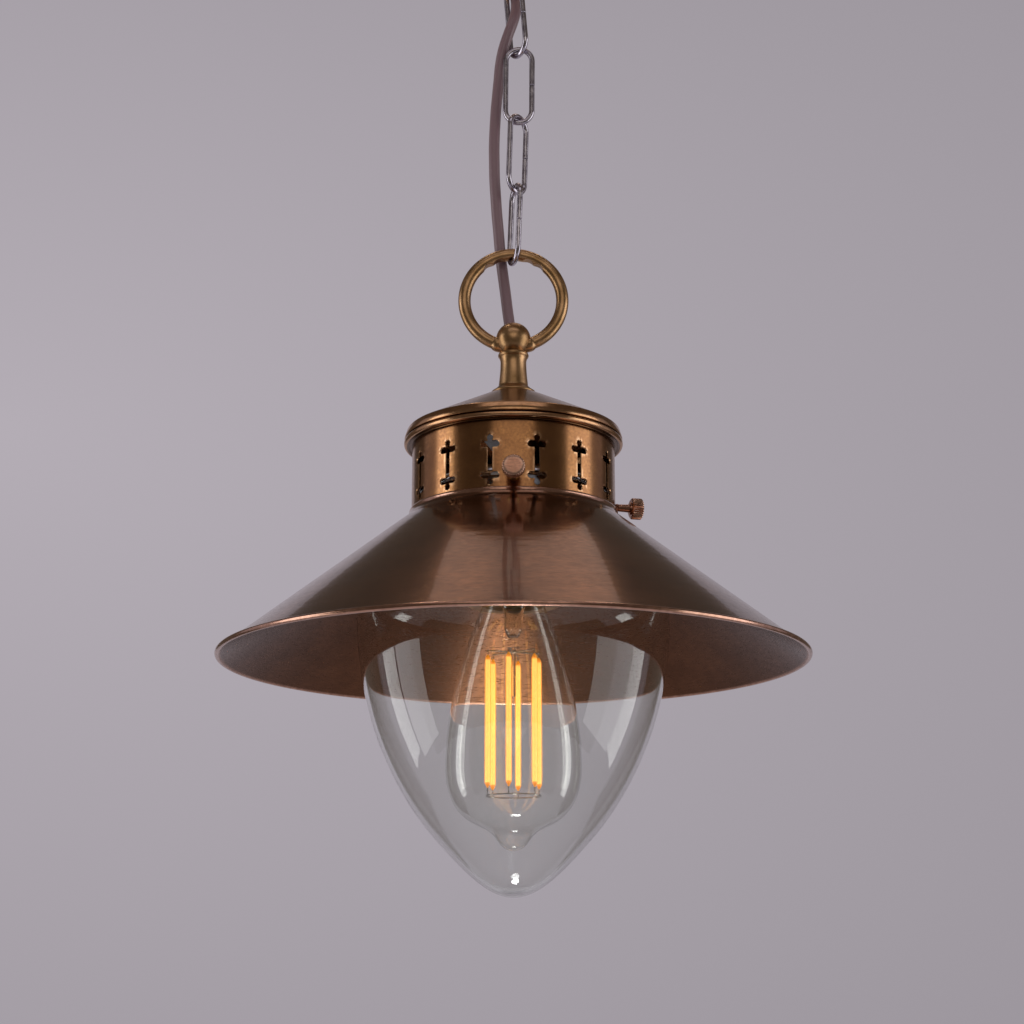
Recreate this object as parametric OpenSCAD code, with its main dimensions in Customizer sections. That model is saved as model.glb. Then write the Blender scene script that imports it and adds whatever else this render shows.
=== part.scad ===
// Hanging lantern: a spun shade and a clear acorn glass below a pierced gallery,
// hung by a cast ring from a short chain under a ceiling cup.
// Millimetres, +Z up. The origin is on the ceiling, on the lantern's axis, and the front faces -Y.

/* [Ceiling fitting] */
// Outside diameter of the ceiling cup
cup_d = 100; // [96:1:120]
// Depth of the ceiling cup
cup_h = 35; // [33:0.5:45]
// Sheet thickness of the ceiling cup
cup_wall = 1; // [0.6:0.1:1.4]
// Distance between the two ceiling screws
screw_spacing = 62; // [58:1:66]
// Length of each ceiling screw slot
slot_len = 9; // [6:0.5:11]
// Width of each ceiling screw slot
slot_w = 4.5; // [3.5:0.1:5.5]
// Length of the ceiling bracket
strap_len = 86; // [82:1:90]
// Width of the ceiling bracket's strap
strap_w = 16; // [14:0.5:20]
// Thickness of the ceiling bracket's strap
strap_t = 2; // [1.5:0.1:2.5]
// How far the bracket's bridge hangs below the ceiling
bracket_drop = 20; // [19:0.5:22]

/* [Threaded tubes and nuts] */
// Outside diameter of the threaded tubes
tube_d = 9.9; // [9.5:0.1:10.5]
// Bore of the threaded tubes, for the flex
tube_bore = 7.2; // [6.8:0.1:7.6]
// Width of the lock nuts across their flats
nut_af = 14; // [13:0.5:17]
// Thickness of the lock nuts
nut_h = 3; // [2:0.25:4]

/* [Collar and loop] */
// Diameter of the collar under the ceiling cup
collar_d = 23; // [22:0.5:28]
// Height of the collar
collar_h = 7; // [6:0.5:10]
// Wire diameter of the loop
loop_wire = 4; // [3.5:0.1:4.4]
// Width of the loop between its wire centres
loop_w = 18; // [17:0.5:20]
// Length of the loop below the collar, to its wire centre
loop_drop = 18.8; // [17:0.2:24]
// Turn of the loop about the vertical
loop_yaw = 34; // [24:1:44]

/* [Chain] */
// Outside length of a link
link_len = 44.5; // [42:0.5:48]
// Outside width of a link
link_w = 16.4; // [15.6:0.2:18]
// Wire diameter of a link
link_wire = 2.8; // [2.2:0.1:3]
// Gap at the butt joint of a link
butt_gap = 0.3; // [0.1:0.1:0.8]

/* [Ring and stem] */
// Radius of the hanging ring, to the middle of its wire
ring_r = 24.5; // [23:0.5:30]
// Wire diameter of the hanging ring
ring_wire = 6.2; // [5.4:0.1:6.6]
// Depth of the scallops inside the top of the ring
scallop_depth = 1.2; // [0.6:0.1:1.6]
// Radius that cuts each scallop
scallop_r = 3.6; // [3:0.1:4]
// Radius of the ball below the ring
ball_r = 8.7; // [8:0.1:9.2]
// Radius of the waist of the stem
waist_r = 6.4; // [6:0.1:7]
// Radius of the foot of the stem
foot_r = 11.2; // [10:0.1:12]
// Height of the ring's centre above the lid
stem_h = 50; // [46:0.5:56]

/* [Lid and gallery] */
// Outside diameter of the gallery
gallery_d = 98.8; // [96:0.4:104]
// Sheet thickness of the gallery
gallery_wall = 0.9; // [0.6:0.1:1.2]
// Height of the gallery above the shade
gallery_h = 38.3; // [36:0.1:48]
// Overhang of the rolled flange
flange_out = 4.1; // [3.4:0.1:5]
// Thickness of the rolled edge
flange_bead = 2.9; // [2:0.1:3.4]
// Number of cross cut-outs, in pairs on opposite sides
crosses = 14; // [12:2:16]
// Height of each cross cut-out
cross_h = 24; // [20:0.1:25]
// Width of the arms of each cross
cross_w = 9; // [6:0.1:10]
// Distance between the two arms of each cross
cross_pitch = 15; // [12:0.1:17]
// Width of the upright of each cross
cross_slot = 2.2; // [1.6:0.1:2.6]
// Thickness of the arms of each cross
cross_arm = 2.9; // [2.7:0.1:3.4]
// Height of the lid
lid_h = 24.6; // [20:0.2:30]
// Height of the lid's edge band
lid_band = 4.8; // [4:0.1:7]
// Sheet thickness of the lid
lid_wall = 1; // [0.6:0.1:1.4]

/* [Shade] */
// Outside diameter of the shade
shade_d = 280; // [250:1:320]
// Height of the gallery's foot above the shade's rim
shade_h = 70.9; // [64:0.1:78]
// Sheet thickness of the shade
shade_wall = 1; // [0.7:0.1:1.4]
// Diameter of the rolled rim
rim_bead = 2.4; // [2:0.1:3.2]
// Radius of the fillet between cone and neck
neck_fillet = 5.25; // [4:0.25:6]
// Height of the shade's neck above the gallery's foot
neck_rise = 3; // [2:0.1:4]

/* [Thumbscrews] */
// Diameter of the screw shanks
screw_d = 4; // [3:0.1:4.4]
// Diameter of the screw heads
head_d = 10.5; // [9:0.1:12]
// Thickness of the screw heads
head_t = 5; // [4:0.1:6]
// Distance from the gallery to the outside of a head
screw_reach = 15.6; // [13:0.2:20]
// Height of the screws above the shade's neck
screw_z = 8.6; // [8.4:0.1:10]
// Number of ridges around a head
knurls = 44; // [30:1:60]

/* [Glass] */
// Widest diameter of the acorn glass
glass_d = 149; // [140:1:156]
// Depth of the glass below the shade's rim
glass_drop = 108.3; // [104:0.1:126]
// Height of the widest place above the shade's rim
glass_belly_z = 24.4; // [16:0.1:28]
// Wall of the glass
glass_wall = 2; // [1.4:0.1:2.6]
// Gap between the thumbscrews' tips and the neck of the glass
tip_gap = 0.6; // [0.5:0.1:0.8]
// How far the rolled lip stands out from the neck
lip_out = 2.5; // [2:0.1:2.8]

/* [Lampholder] */
// Outside diameter of the lampholder's body
holder_d = 41; // [39:0.5:48]
// Sheet thickness of the lampholder
holder_wall = 1; // [0.8:0.1:1.4]
// Height of the lampholder, from its mouth to its hub
holder_h = 50; // [49:0.5:56]
// Inside diameter of the threaded shell
shell_d = 26.8; // [26.6:0.1:27.4]

/* [Bulb] */
// Widest diameter of the bulb
bulb_d = 64; // [58:1:70]
// Depth of the bulb below the shade's rim
bulb_drop = 86.8; // [82:0.2:94]
// Height of the lower edge of the bulb's cap above the shade's rim
cap_z = 31.4; // [30:0.1:32]
// Diameter of the bulb's screw cap
cap_d = 26.2; // [25.6:0.1:26.4]
// Height of the bulb's screw cap
cap_h = 23; // [20:0.5:24]
// Wall of the bulb
bulb_wall = 0.7; // [0.5:0.1:1]
// Number of filament sticks
sticks = 6; // [4:1:12]
// Diameter of a filament stick
stick_d = 2.5; // [1.6:0.1:3]
// Length of a filament stick
stick_len = 62; // [50:1:66]
// Radius of the circle that the sticks stand on
stick_ring = 12.8; // [8:0.2:15]

/* [Flex] */
// Diameter of the braided flex
flex_d = 5.6; // [5:0.1:6]
// Diameter of each insulated core
core_d = 1.8; // [1.4:0.1:2]

/* [Hidden] */

$fn = 96;
hole_slack = 0.2;    // radial room of a tube in a plain hole
thread_slack = 0.05; // radial room of a thread in its nut
run_slack = 0.05;    // radial room of a shaft that turns or slides
seam = 0.03;         // film of solder or cement between two fixed faces
hang_gap = 0.2;      // room between two links that hang in each other
seat_gap = 0.3;      // room between the glass and the screws that carry it
pierce = 1;          // how far a cutter runs past a face

// Colours of the finishes
steel_grey = [0.62, 0.62, 0.64];
pewter = [0.66, 0.63, 0.67];
old_brass = [0.54, 0.42, 0.22];
gallery_brass = [0.55, 0.38, 0.25];
shade_copper = [0.35, 0.27, 0.22];
bare_brass = [0.78, 0.64, 0.36];
flex_brown = [0.36, 0.28, 0.29];
core_brown = [0.45, 0.30, 0.20];
porcelain = [0.93, 0.92, 0.88];
clear_glass = [0.85, 0.88, 0.90, 0.35];

// Ceiling fitting, downwards from the ceiling
cup_r = cup_d / 2;
tube_r = tube_d / 2;
thread_r = tube_r + thread_slack;
bridge_z = -(bracket_drop - strap_t);
nut_r = nut_af / 2 / cos(30);
nut_chamfer = 0.5;
tube_top = bridge_z + nut_h + 3;
collar_z = -cup_h;
collar_bottom = collar_z - collar_h;
collar_mouth_r = flex_d / 2 + 1.4;
tube_end = collar_bottom + 2.7;
loop_z = collar_bottom - loop_drop;
grip_r = 7;
grip_h = 8;
grip_z = tube_top - 3;
grip_screw_z = tube_top + 2.4;
grip_screw_r = 1.45;
drive_w = 0.6; // screwdriver slots
drive_t = 0.7;
leg_x = 20;
foot_inset = 1.6;

// Terminal block on the bracket's ear
block = [27, 16, 12];
block_y = 27;
block_z = bridge_z + block.z / 2;
pole_pitch = 8;
poles = [-pole_pitch, 0, pole_pitch];
pole_screws = [-4, 4];
sleeve_r = 2.4;
sleeve_bore_r = 1.6;
sleeve_len = 14;
pole_screw_r = 1.25;
ear_w = 14;

// Chain: each joint is the middle of the upper neighbour's wire, at its lowest point
link_yaws = [-56, 0, 54, -72];
link_leans = [4.5, -0.5, -1.8, -2.1];
link_bend_r = (link_w - link_wire) / 2;
first_hang = (loop_wire + link_wire) / 2 + hang_gap;
next_hang = link_wire + hang_gap;
function hang(i) = i == 0 ? first_hang : next_hang;
function link_step(i) = link_len - link_wire - hang(i);
function joint_at(i) = i == 0 ? [0, 0, loop_z]
    : joint_at(i - 1) + link_step(i - 1) * [sin(link_leans[i - 1]), 0, -cos(link_leans[i - 1])];

// Lantern: heights are above the plane of the shade's rim
lantern_joint = joint_at(4);
ring_top_r = ring_r - ring_wire / 2 + scallop_depth;
neck_z = shade_h;
flange_z = neck_z + gallery_h;
lid_top = flange_z + lid_h;
ring_z = lid_top + stem_h;
scallop_floor = sqrt(pow(ring_wire / 2, 2) - pow(ring_wire / 2 - scallop_depth, 2));
link_in_r = link_bend_r - link_wire / 2;
wire_rise = link_bend_r - sqrt(pow(link_in_r, 2) - pow(scallop_floor / sin(link_yaws[3]), 2));
rim_z = lantern_joint.z + wire_rise + hang_gap - ring_top_r - ring_z;
gallery_r = gallery_d / 2;
gallery_in = gallery_r - gallery_wall;
flange_r = gallery_r + flange_out;
scallop_turns = [-36, -20, 0, 20, 36];
stem_bore_r = tube_bore / 2;
stem_thread = 10;
ball_z = ring_z - ring_r + 3.5;
ball_mouth = [-1.9, 4.6, 17];
ball_mouth_r = flex_d / 2 + 0.6;
stem_tube_top = lid_top + stem_thread - 0.3;

// Gallery and what it carries
gallery_tuck = 6.5;
gallery_bottom = neck_z - gallery_tuck;
cross_turn = 360 / crosses;
cross_z = neck_z + 16.1;
screw_turns = [0, 4 * cross_turn, -5 * cross_turn];
screw_r = screw_d / 2;
screw_axis = neck_z + screw_z;
screw_bore_r = screw_r + run_slack;
bush_r = screw_r + 1.8;
spigot_r = screw_r + 1;
bush_in = gallery_in - 1.9;
bush_out = gallery_r + 0.3;
bridge_w = 14;
bridge_t = 1.5;
bridge_top = flange_z - 6.4;
tab_turn = cross_turn * 3;
tab_w = 20;
tab_h = 5;

// Shade
shade_r = shade_d / 2;
shade_neck_in = gallery_r + hole_slack;
shade_neck_r = shade_neck_in + shade_wall;
neck_top = neck_z + neck_rise;
neck_bevel = 0.7;
shade_slope = atan((neck_top - neck_bevel - neck_fillet / 2) / (shade_r - shade_neck_r));
fillet_r = shade_neck_r + neck_fillet;
fillet_z = (neck_fillet - (fillet_r - shade_r) * sin(shade_slope)) / cos(shade_slope);
ring_nut_t = 1.2;
ring_nut_h = 4;
ring_nut_z = gallery_bottom - 1.5;
ring_nut_r = shade_r - (ring_nut_z + ring_nut_t + shade_wall / cos(shade_slope)) / tan(shade_slope);

// Glass
glass_r = glass_d / 2;
screw_tip = gallery_in - 4.5;
glass_neck_r = screw_tip - tip_gap;
glass_lip_r = glass_neck_r + lip_out;
glass_lip_h = 3;
glass_flank = 48;
glass_seat = screw_axis + screw_r + seat_gap;
glass_neck_z = neck_z - 9;
ring_nut_in = glass_lip_r + 0.6;

// Lampholder
holder_r = holder_d / 2;
holder_mouth = cap_z - 3;
hub_top = holder_mouth + holder_h;
hub_r = tube_r + 3;
hub_h = 9;
shell_in = shell_d / 2;
shell_t = 0.4;
shell_bottom = cap_z + 1;
shell_h = 20;
insert_bottom = shell_bottom + 1;
insert_top = cap_z + cap_h + 9;
insert_plate = 5;
insert_hole_ring = shell_in + shell_t - 3;
cap_top = cap_z + cap_h;
tongue_gap = 0.4;
stem_tube_end = hub_top - 6;
holder_cap_z = holder_mouth + 0.64 * holder_h;
holder_body_h = 0.68 * holder_h;
cap_skirt_h = 4;

// Bulb
bulb_r = bulb_d / 2;
cap_r = cap_d / 2;
bulb_neck_r = cap_r + 0.1;
bulb_belly_z = -47.6;
insulator_h = 2;
contact_h = 1;
stick_top = 3.6;
stick_turn = 20;
stick_bottom = stick_top - stick_len;
wire_r = 0.35;
rod_r = 1.1;
bottom_ring_z = stick_bottom - 3.4;

// Route of the flex: round points from inside the collar down to the middle of the stem
flex_route = [
    [0, 0, -37], [0, 0, -43], [0.1, 2.7, -49], [0.5, 5.9, -55], [1, 7.3, -60], [1.5, 5.8, -65],
    [1.2, 3.2, -72], [-0.2, 1.2, -79], [-2.8, 0.8, -87], [-5.4, 2.7, -95], [-6.9, 4.5, -103],
    [-7.6, 5.3, -111], [-8.4, 5.3, -120], [-9.1, 5.1, -129], [-9.6, 4.8, -139], [-9.9, 4.7, -149],
    [-9.8, 4.8, -158], [-9.6, 5.2, -167], [-9, 5.7, -177], [-8.4, 6.3, -186], [-7.6, 7, -195],
    [-6.9, 7.5, -204], [-6.1, 7.7, -212], [-5.1, 7.5, -220], [-4.1, 6.9, -228], [-3.1, 5.9, -237],
    [-2, 4.4, -246], [-1, 2.4, -254], [0, 0, -263], [0, 0, -269]
];
flex_cuts = [0, 7, 12, 16, 20, 29];
flex_bend_z = flex_route[len(flex_route) - 2].z - rim_z;
bend_pocket_r = stem_bore_r + 0.6;
flex_r = flex_d / 2;
flex_sides = 12;
core_r = core_d / 2;
core_circle = 1.35;
core_gap = 0.3;
flex_top_z = grip_z + grip_h + 0.5;
flex_end_z = stem_tube_end - 3;

// Points on an arc about [x, y]
function arc(x, y, r, from, to, n = 8) =
    [for (i = [0:n]) let (a = from + (to - from) * i / n) [x + r * cos(a), y + r * sin(a)]];

// Points on a cubic curve
function curve(a, b, c, d, n = 12) =
    [for (i = [0:n]) let (t = i / n, u = 1 - t)
        u * u * u * a + 3 * u * u * t * b + 3 * u * t * t * c + t * t * t * d];

// An outline moved sideways by d, to the left of its direction
function shifted(p, d) =
    [for (i = [0:len(p) - 1])
        let (s = p[min(i + 1, len(p) - 1)] - p[max(i - 1, 0)], q = p[i] + d * [-s.y, s.x] / norm(s))
        [max(q.x, 0), q.y]];

// A list without its first point
function rest(p) = [for (i = [1:len(p) - 1]) p[i]];

// The points of a list in the opposite order
function flipped(p) = [for (i = [len(p) - 1:-1:0]) p[i]];

// Outline of a sheet that follows p, with its other face a distance d to the left
function sheet(p, d) = concat(p, flipped(shifted(p, d)));

function unit(v) = v / norm(v);
function heading(p, i) = unit(p[min(i + 1, len(p) - 1)] - p[max(i - 1, 0)]);

// Ring of n points round p[i], square to the path, with its first point by the direction side
function ring_points(p, i, r, n, side) =
    let (t = heading(p, i), u = unit(cross(side, t)), v = cross(t, u))
    [for (k = [0:n - 1]) p[i] + r * (cos(360 * k / n) * u + sin(360 * k / n) * v)];

// Tube of n sides along the points from p[first] to p[last]
module swept(p, r, n, first, last, side) {
    rings = last - first;
    points = [for (i = [first:last]) each ring_points(p, i, r, n, side)];
    walls = [for (i = [0:rings - 1], k = [0:n - 1])
        let (a = i * n + k, b = i * n + (k + 1) % n) [a, a + n, b + n, b]];
    start = [for (k = [0:n - 1]) k];
    end = [for (k = [n - 1:-1:0]) rings * n + k];
    polyhedron(points, concat(walls, [start], [end]));
}

// Plain tube that stands on the plane z
module pipe(r_out, r_in, z, h) {
    difference() {
        translate([0, 0, z]) cylinder(r = r_out, h = h);
        translate([0, 0, z - pierce]) cylinder(r = r_in, h = h + 2 * pierce);
    }
}

// Hexagonal lock nut whose lower face is at z
module lock_nut(z) {
    face_r = nut_r - nut_chamfer;
    difference() {
        intersection() {
            translate([0, 0, z]) cylinder(r = nut_r, h = nut_h, $fn = 6);
            translate([0, 0, z]) cylinder(r1 = face_r, r2 = face_r + nut_h, h = nut_h);
            translate([0, 0, z]) cylinder(r1 = face_r + nut_h, r2 = face_r, h = nut_h);
        }
        translate([0, 0, z - pierce]) cylinder(r = thread_r, h = nut_h + 2 * pierce);
    }
}

// Half of a wire ring in the XZ plane, below (down = true) or above its centre
module half_ring(r, wire, down) {
    rotate([down ? -90 : 90, 0, 0])
        rotate_extrude(angle = 180) translate([r, 0]) circle(d = wire, $fn = 48);
}

// Moves a piece of the lantern from the rim plane to its place on the chain
module on_lantern() {
    translate([0, 0, rim_z]) children();
}

// Turns a piece that points to the front to the given bearing
module at_bearing(a) {
    rotate([0, 0, a]) children();
}

// ---- Ceiling fitting ----

module ceiling_bracket() {
    color(steel_grey) difference() {
        union() {
            translate([-leg_x, -strap_w / 2, -bracket_drop]) cube([2 * leg_x, strap_w, strap_t]);
            translate([-ear_w / 2, 0, -bracket_drop]) cube([ear_w, block_y + block.y / 2, strap_t]);
            for (s = [-1, 1]) {
                translate([s * (leg_x - strap_t / 2) - strap_t / 2, -strap_w / 2, -bracket_drop])
                    cube([strap_t, strap_w, bracket_drop]);
                translate([min(s * (leg_x - strap_t), s * strap_len / 2), -strap_w / 2, -strap_t])
                    cube([strap_len / 2 - leg_x + strap_t, strap_w, strap_t]);
            }
        }
        for (s = [-1, 1])
            translate([s * screw_spacing / 2, 0, -strap_t - pierce]) slot_hole(strap_t + 2 * pierce);
        translate([0, 0, -bracket_drop - pierce]) cylinder(r = thread_r, h = strap_t + 2 * pierce);
        for (s = [-1, 1])
            translate([s * strap_len / 2, 0, -strap_t]) corner_cuts(s);
    }
}

// Slot for a ceiling screw, along X
module slot_hole(h) {
    reach = (slot_len - slot_w) / 2;
    translate([-reach, -slot_w / 2, 0]) cube([2 * reach, slot_w, h]);
    for (s = [-1, 1])
        translate([s * reach, 0, 0]) cylinder(d = slot_w, h = h, $fn = 48);
}

// Bevels on the two corners at one end of the strap
module corner_cuts(s) {
    for (t = [-1, 1])
        translate([0, t * strap_w / 2, -pierce]) rotate([0, 0, 45])
            translate([-foot_inset, -foot_inset, 0])
                cube([2 * foot_inset, 2 * foot_inset, strap_t + 2 * pierce]);
}

module bracket_nuts() {
    color(steel_grey) {
        lock_nut(bridge_z);
        lock_nut(-bracket_drop - nut_h);
    }
}

module ceiling_tube() {
    color(bare_brass) pipe(tube_r, tube_bore / 2, tube_end, tube_top - tube_end);
}

module ceiling_cup() {
    floor_r = 16;
    bead_r = 1.2;
    band = 6;
    step = 1;
    band_r = cup_r - 0.8;
    bowl_r = cup_r - 2;
    bowl_h = cup_h - band - step;
    outline = concat(
        [[tube_r + hole_slack, -cup_h]],
        [for (a = [0:6:90]) [floor_r + (bowl_r - floor_r) * sin(a), -band - step - bowl_h * cos(a)]],
        [[band_r - 0.1, -band - 0.3 * step], [band_r, -band + 0.5 * step], [band_r, -bead_r]]
    );
    color(gallery_brass) rotate_extrude() {
        polygon(sheet(outline, cup_wall));
        translate([cup_r - bead_r, -bead_r]) circle(bead_r, $fn = 32);
    }
}

module collar_loop() {
    bevel = 1;
    bend_z = loop_z + loop_w / 2;
    half = loop_w / 2;
    color(old_brass) difference() {
        union() {
            rotate_extrude() polygon([
                [0, collar_z], [collar_d / 2 - bevel, collar_z], [collar_d / 2, collar_z - bevel],
                [collar_d / 2, collar_bottom + 2 * bevel], [collar_d / 2 - bevel, collar_bottom],
                [0, collar_bottom]
            ]);
            rotate([0, 0, loop_yaw]) {
                for (s = [-1, 1])
                    translate([s * half, 0, bend_z])
                        cylinder(d = loop_wire, h = collar_bottom + 1 - bend_z, $fn = 48);
                translate([0, 0, bend_z]) half_ring(half, loop_wire, true);
            }
        }
        translate([0, 0, tube_end - 0.2]) cylinder(r = thread_r, h = collar_h + pierce);
        translate([0, 0, collar_bottom - pierce]) cylinder(r = collar_mouth_r, h = collar_h);
    }
}

module cord_grip() {
    bevel = 2;
    color("ivory") difference() {
        rotate_extrude() polygon([
            [0, grip_z], [grip_r, grip_z], [grip_r, grip_z + grip_h - bevel],
            [grip_r - bevel, grip_z + grip_h], [0, grip_z + grip_h]
        ]);
        translate([0, 0, grip_z - pierce])
            cylinder(r = thread_r, h = pierce + tube_top - grip_z + hole_slack);
        translate([0, 0, grip_z]) cylinder(r = flex_r + hole_slack, h = grip_h + pierce);
        translate([0, 0, grip_screw_z]) rotate([90, 0, 0])
            cylinder(r = grip_screw_r + thread_slack, h = grip_r + pierce, $fn = 32);
    }
}

module grip_screw() {
    tip = flex_r + 0.1;
    head = grip_r + 0.7;
    color(steel_grey) translate([0, 0, grip_screw_z]) rotate([90, 0, 0]) difference() {
        translate([0, 0, tip]) cylinder(r = grip_screw_r, h = head - tip, $fn = 32);
        translate([-grip_screw_r - pierce, -drive_w / 2, head - drive_t])
            cube([2 * (grip_screw_r + pierce), drive_w, drive_t + pierce]);
    }
}

module terminal_block() {
    nick = 1.2;
    color(porcelain) difference() {
        translate([-block.x / 2, block_y - block.y / 2, block_z - block.z / 2]) cube(block);
        for (x = poles) {
            translate([x, block_y - block.y / 2 - pierce, block_z]) rotate([-90, 0, 0])
                cylinder(r = sleeve_r, h = block.y + 2 * pierce, $fn = 48);
            for (y = pole_screws)
                translate([x, block_y + y, block_z])
                    cylinder(r = pole_screw_r + seat_gap, h = block.z, $fn = 32);
        }
        for (x = [-0.5, 0.5] * pole_pitch, s = [-1, 1])
            translate([x - nick / 2, block_y + s * block.y / 2 - pierce, block_z - block.z / 2 - pierce])
                cube([nick, 2 * pierce, block.z + 2 * pierce]);
    }
}

module terminal_sleeves() {
    color(bare_brass) for (x = poles) difference() {
        translate([x, block_y - sleeve_len / 2, block_z]) rotate([-90, 0, 0])
            cylinder(r = sleeve_r, h = sleeve_len, $fn = 48);
        translate([x, block_y - block.y / 2, block_z]) rotate([-90, 0, 0])
            cylinder(r = sleeve_bore_r, h = block.y, $fn = 48);
        for (y = pole_screws)
            translate([x, block_y + y, block_z]) cylinder(r = pole_screw_r, h = block.z, $fn = 32);
    }
}

module terminal_screws() {
    low = 1;
    head = block.z / 2 - 0.6;
    color(steel_grey) for (x = poles, y = pole_screws)
        translate([x, block_y + y, block_z]) difference() {
            translate([0, 0, low]) cylinder(r = pole_screw_r, h = head - low, $fn = 32);
            translate([-pole_screw_r - pierce, -drive_w / 2, head - drive_t])
                cube([2 * (pole_screw_r + pierce), drive_w, drive_t + pierce]);
        }
}

// Cores from the end of the flex to the sleeves of the terminal block
module ceiling_cores() {
    start_z = flex_top_z + core_gap;
    rise = [0, 0, 6.5];
    run_in = [0, 12, 0];
    stripped = 3;
    color(core_brown) for (i = [0:2]) {
        turn = 90 + 120 * (1 - i);
        from = [core_circle * cos(turn), core_circle * sin(turn), start_z];
        to = [poles[i], block_y - sleeve_len / 2 + stripped, block_z];
        path = curve(from, from + rise, to - run_in, to, 10);
        swept(path, core_r, 8, 0, len(path) - 1, [1, 0, 0]);
    }
}

// ---- Flex ----

module flex_top() {
    color(flex_brown) translate([0, 0, flex_route[0].z])
        cylinder(r = flex_r, h = flex_top_z - flex_route[0].z);
}

module flex_part(i) {
    color(flex_brown) swept(flex_route, flex_r, flex_sides, flex_cuts[i - 1], flex_cuts[i], [0, 1, 0]);
}

module flex_stem() {
    top = flex_route[len(flex_route) - 1].z;
    color(flex_brown) translate([0, 0, rim_z + flex_end_z])
        cylinder(r = flex_r, h = top - rim_z - flex_end_z);
}

// ---- Chain ----

// Link number i, hung on the joint above it
module link(i) {
    reach = link_len / 2 - link_w / 2;
    color(pewter) translate(joint_at(i - 1)) rotate([0, -link_leans[i - 1], 0])
        rotate([0, 0, link_yaws[i - 1]]) translate([0, 0, hang(i - 1) - (link_len - link_wire) / 2])
            difference() {
                union() {
                    translate([0, 0, reach]) half_ring(link_bend_r, link_wire, false);
                    translate([0, 0, -reach]) half_ring(link_bend_r, link_wire, true);
                    for (s = [-1, 1])
                        translate([s * link_bend_r, 0, -reach])
                            cylinder(d = link_wire, h = 2 * reach, $fn = 48);
                }
                translate([link_bend_r - link_wire, -link_wire, -butt_gap / 2])
                    cube([2 * link_wire, 2 * link_wire, butt_gap]);
            }
}

// ---- Ring, lid and gallery ----

module hanging_ring() {
    foot_edge = 0.8;
    shoulder_z = 3.2;
    shoulder = 0.9;
    base_r = waist_r + 0.9;
    waist_z = 17.4;
    knop_z = 20.6;
    knop_r = 1.4;
    outline = concat(
        [[0, 0]],
        arc(foot_r - foot_edge, foot_edge, foot_edge, -90, 50),
        arc(base_r, shoulder_z, shoulder, 50, 80),
        curve([base_r, shoulder_z + shoulder + 0.1], [base_r - 0.3, shoulder_z + 5],
            [waist_r, waist_z - 6], [waist_r, waist_z]),
        arc(waist_r - 0.2, knop_z, knop_r, -55, 80),
        [[0, knop_z + knop_r + 0.5]]
    );
    color(old_brass) on_lantern() difference() {
        union() {
            translate([0, 0, lid_top]) rotate_extrude() polygon(outline);
            translate([0, 0, ball_z]) sphere(ball_r);
            translate([0, 0, ring_z]) rotate([90, 0, 0]) difference() {
                rotate_extrude() translate([ring_r, 0]) circle(d = ring_wire, $fn = 64);
                for (a = scallop_turns)
                    rotate([0, 0, 90 + a]) translate([ring_top_r - scallop_r, 0, -ring_wire])
                        cylinder(r = scallop_r, h = 2 * ring_wire, $fn = 48);
            }
        }
        translate([0, 0, lid_top - pierce]) cylinder(r = thread_r, h = stem_thread + pierce);
        translate([0, 0, lid_top]) cylinder(r = stem_bore_r, h = flex_bend_z - lid_top);
        translate([0, 0, flex_bend_z]) {
            sphere(bend_pocket_r);
            rotate([0, 0, atan2(ball_mouth.y, ball_mouth.x)])
                rotate([0, atan2(norm([ball_mouth.x, ball_mouth.y]), ball_mouth.z), 0])
                    cylinder(r = ball_mouth_r, h = 3 * ball_r);
        }
    }
}

module stem_tube() {
    color(bare_brass) on_lantern() pipe(tube_r, stem_bore_r, stem_tube_end, stem_tube_top - stem_tube_end);
}

module lid() {
    flat_r = foot_r + 0.8;
    lid_r = flange_r - 0.2;
    edge_r = 1.4;
    shoulder = 65;
    outline = concat(
        [[lid_r - 0.9, 0], [lid_r - 0.3, 0.5], [lid_r, edge_r]],
        arc(lid_r - edge_r, lid_band - edge_r, edge_r, 0, shoulder),
        [[flat_r, lid_h], [tube_r + hole_slack, lid_h]]
    );
    color(gallery_brass) on_lantern() translate([0, 0, flange_z])
        rotate_extrude() polygon(sheet(outline, lid_wall));
}

module lid_nut() {
    color(steel_grey) on_lantern() lock_nut(lid_top - lid_wall - nut_h);
}

module bridge() {
    color(steel_grey) on_lantern() at_bearing(tab_turn) difference() {
        union() {
            intersection() {
                translate([-gallery_r, -bridge_w / 2, bridge_top - bridge_t])
                    cube([2 * gallery_r, bridge_w, bridge_t]);
                cylinder(r = gallery_in - 0.4, h = ring_z);
            }
            intersection() {
                pipe(gallery_in - seam, gallery_in - bridge_t, bridge_top - bridge_t, bridge_t + tab_h);
                translate([-gallery_r, -tab_w / 2, 0]) cube([2 * gallery_r, tab_w, ring_z]);
            }
        }
        translate([0, 0, bridge_top - bridge_t - pierce])
            cylinder(r = tube_r + hole_slack, h = bridge_t + 2 * pierce);
    }
}

module bridge_nut() {
    color(steel_grey) on_lantern() lock_nut(bridge_top - bridge_t - nut_h);
}

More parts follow.
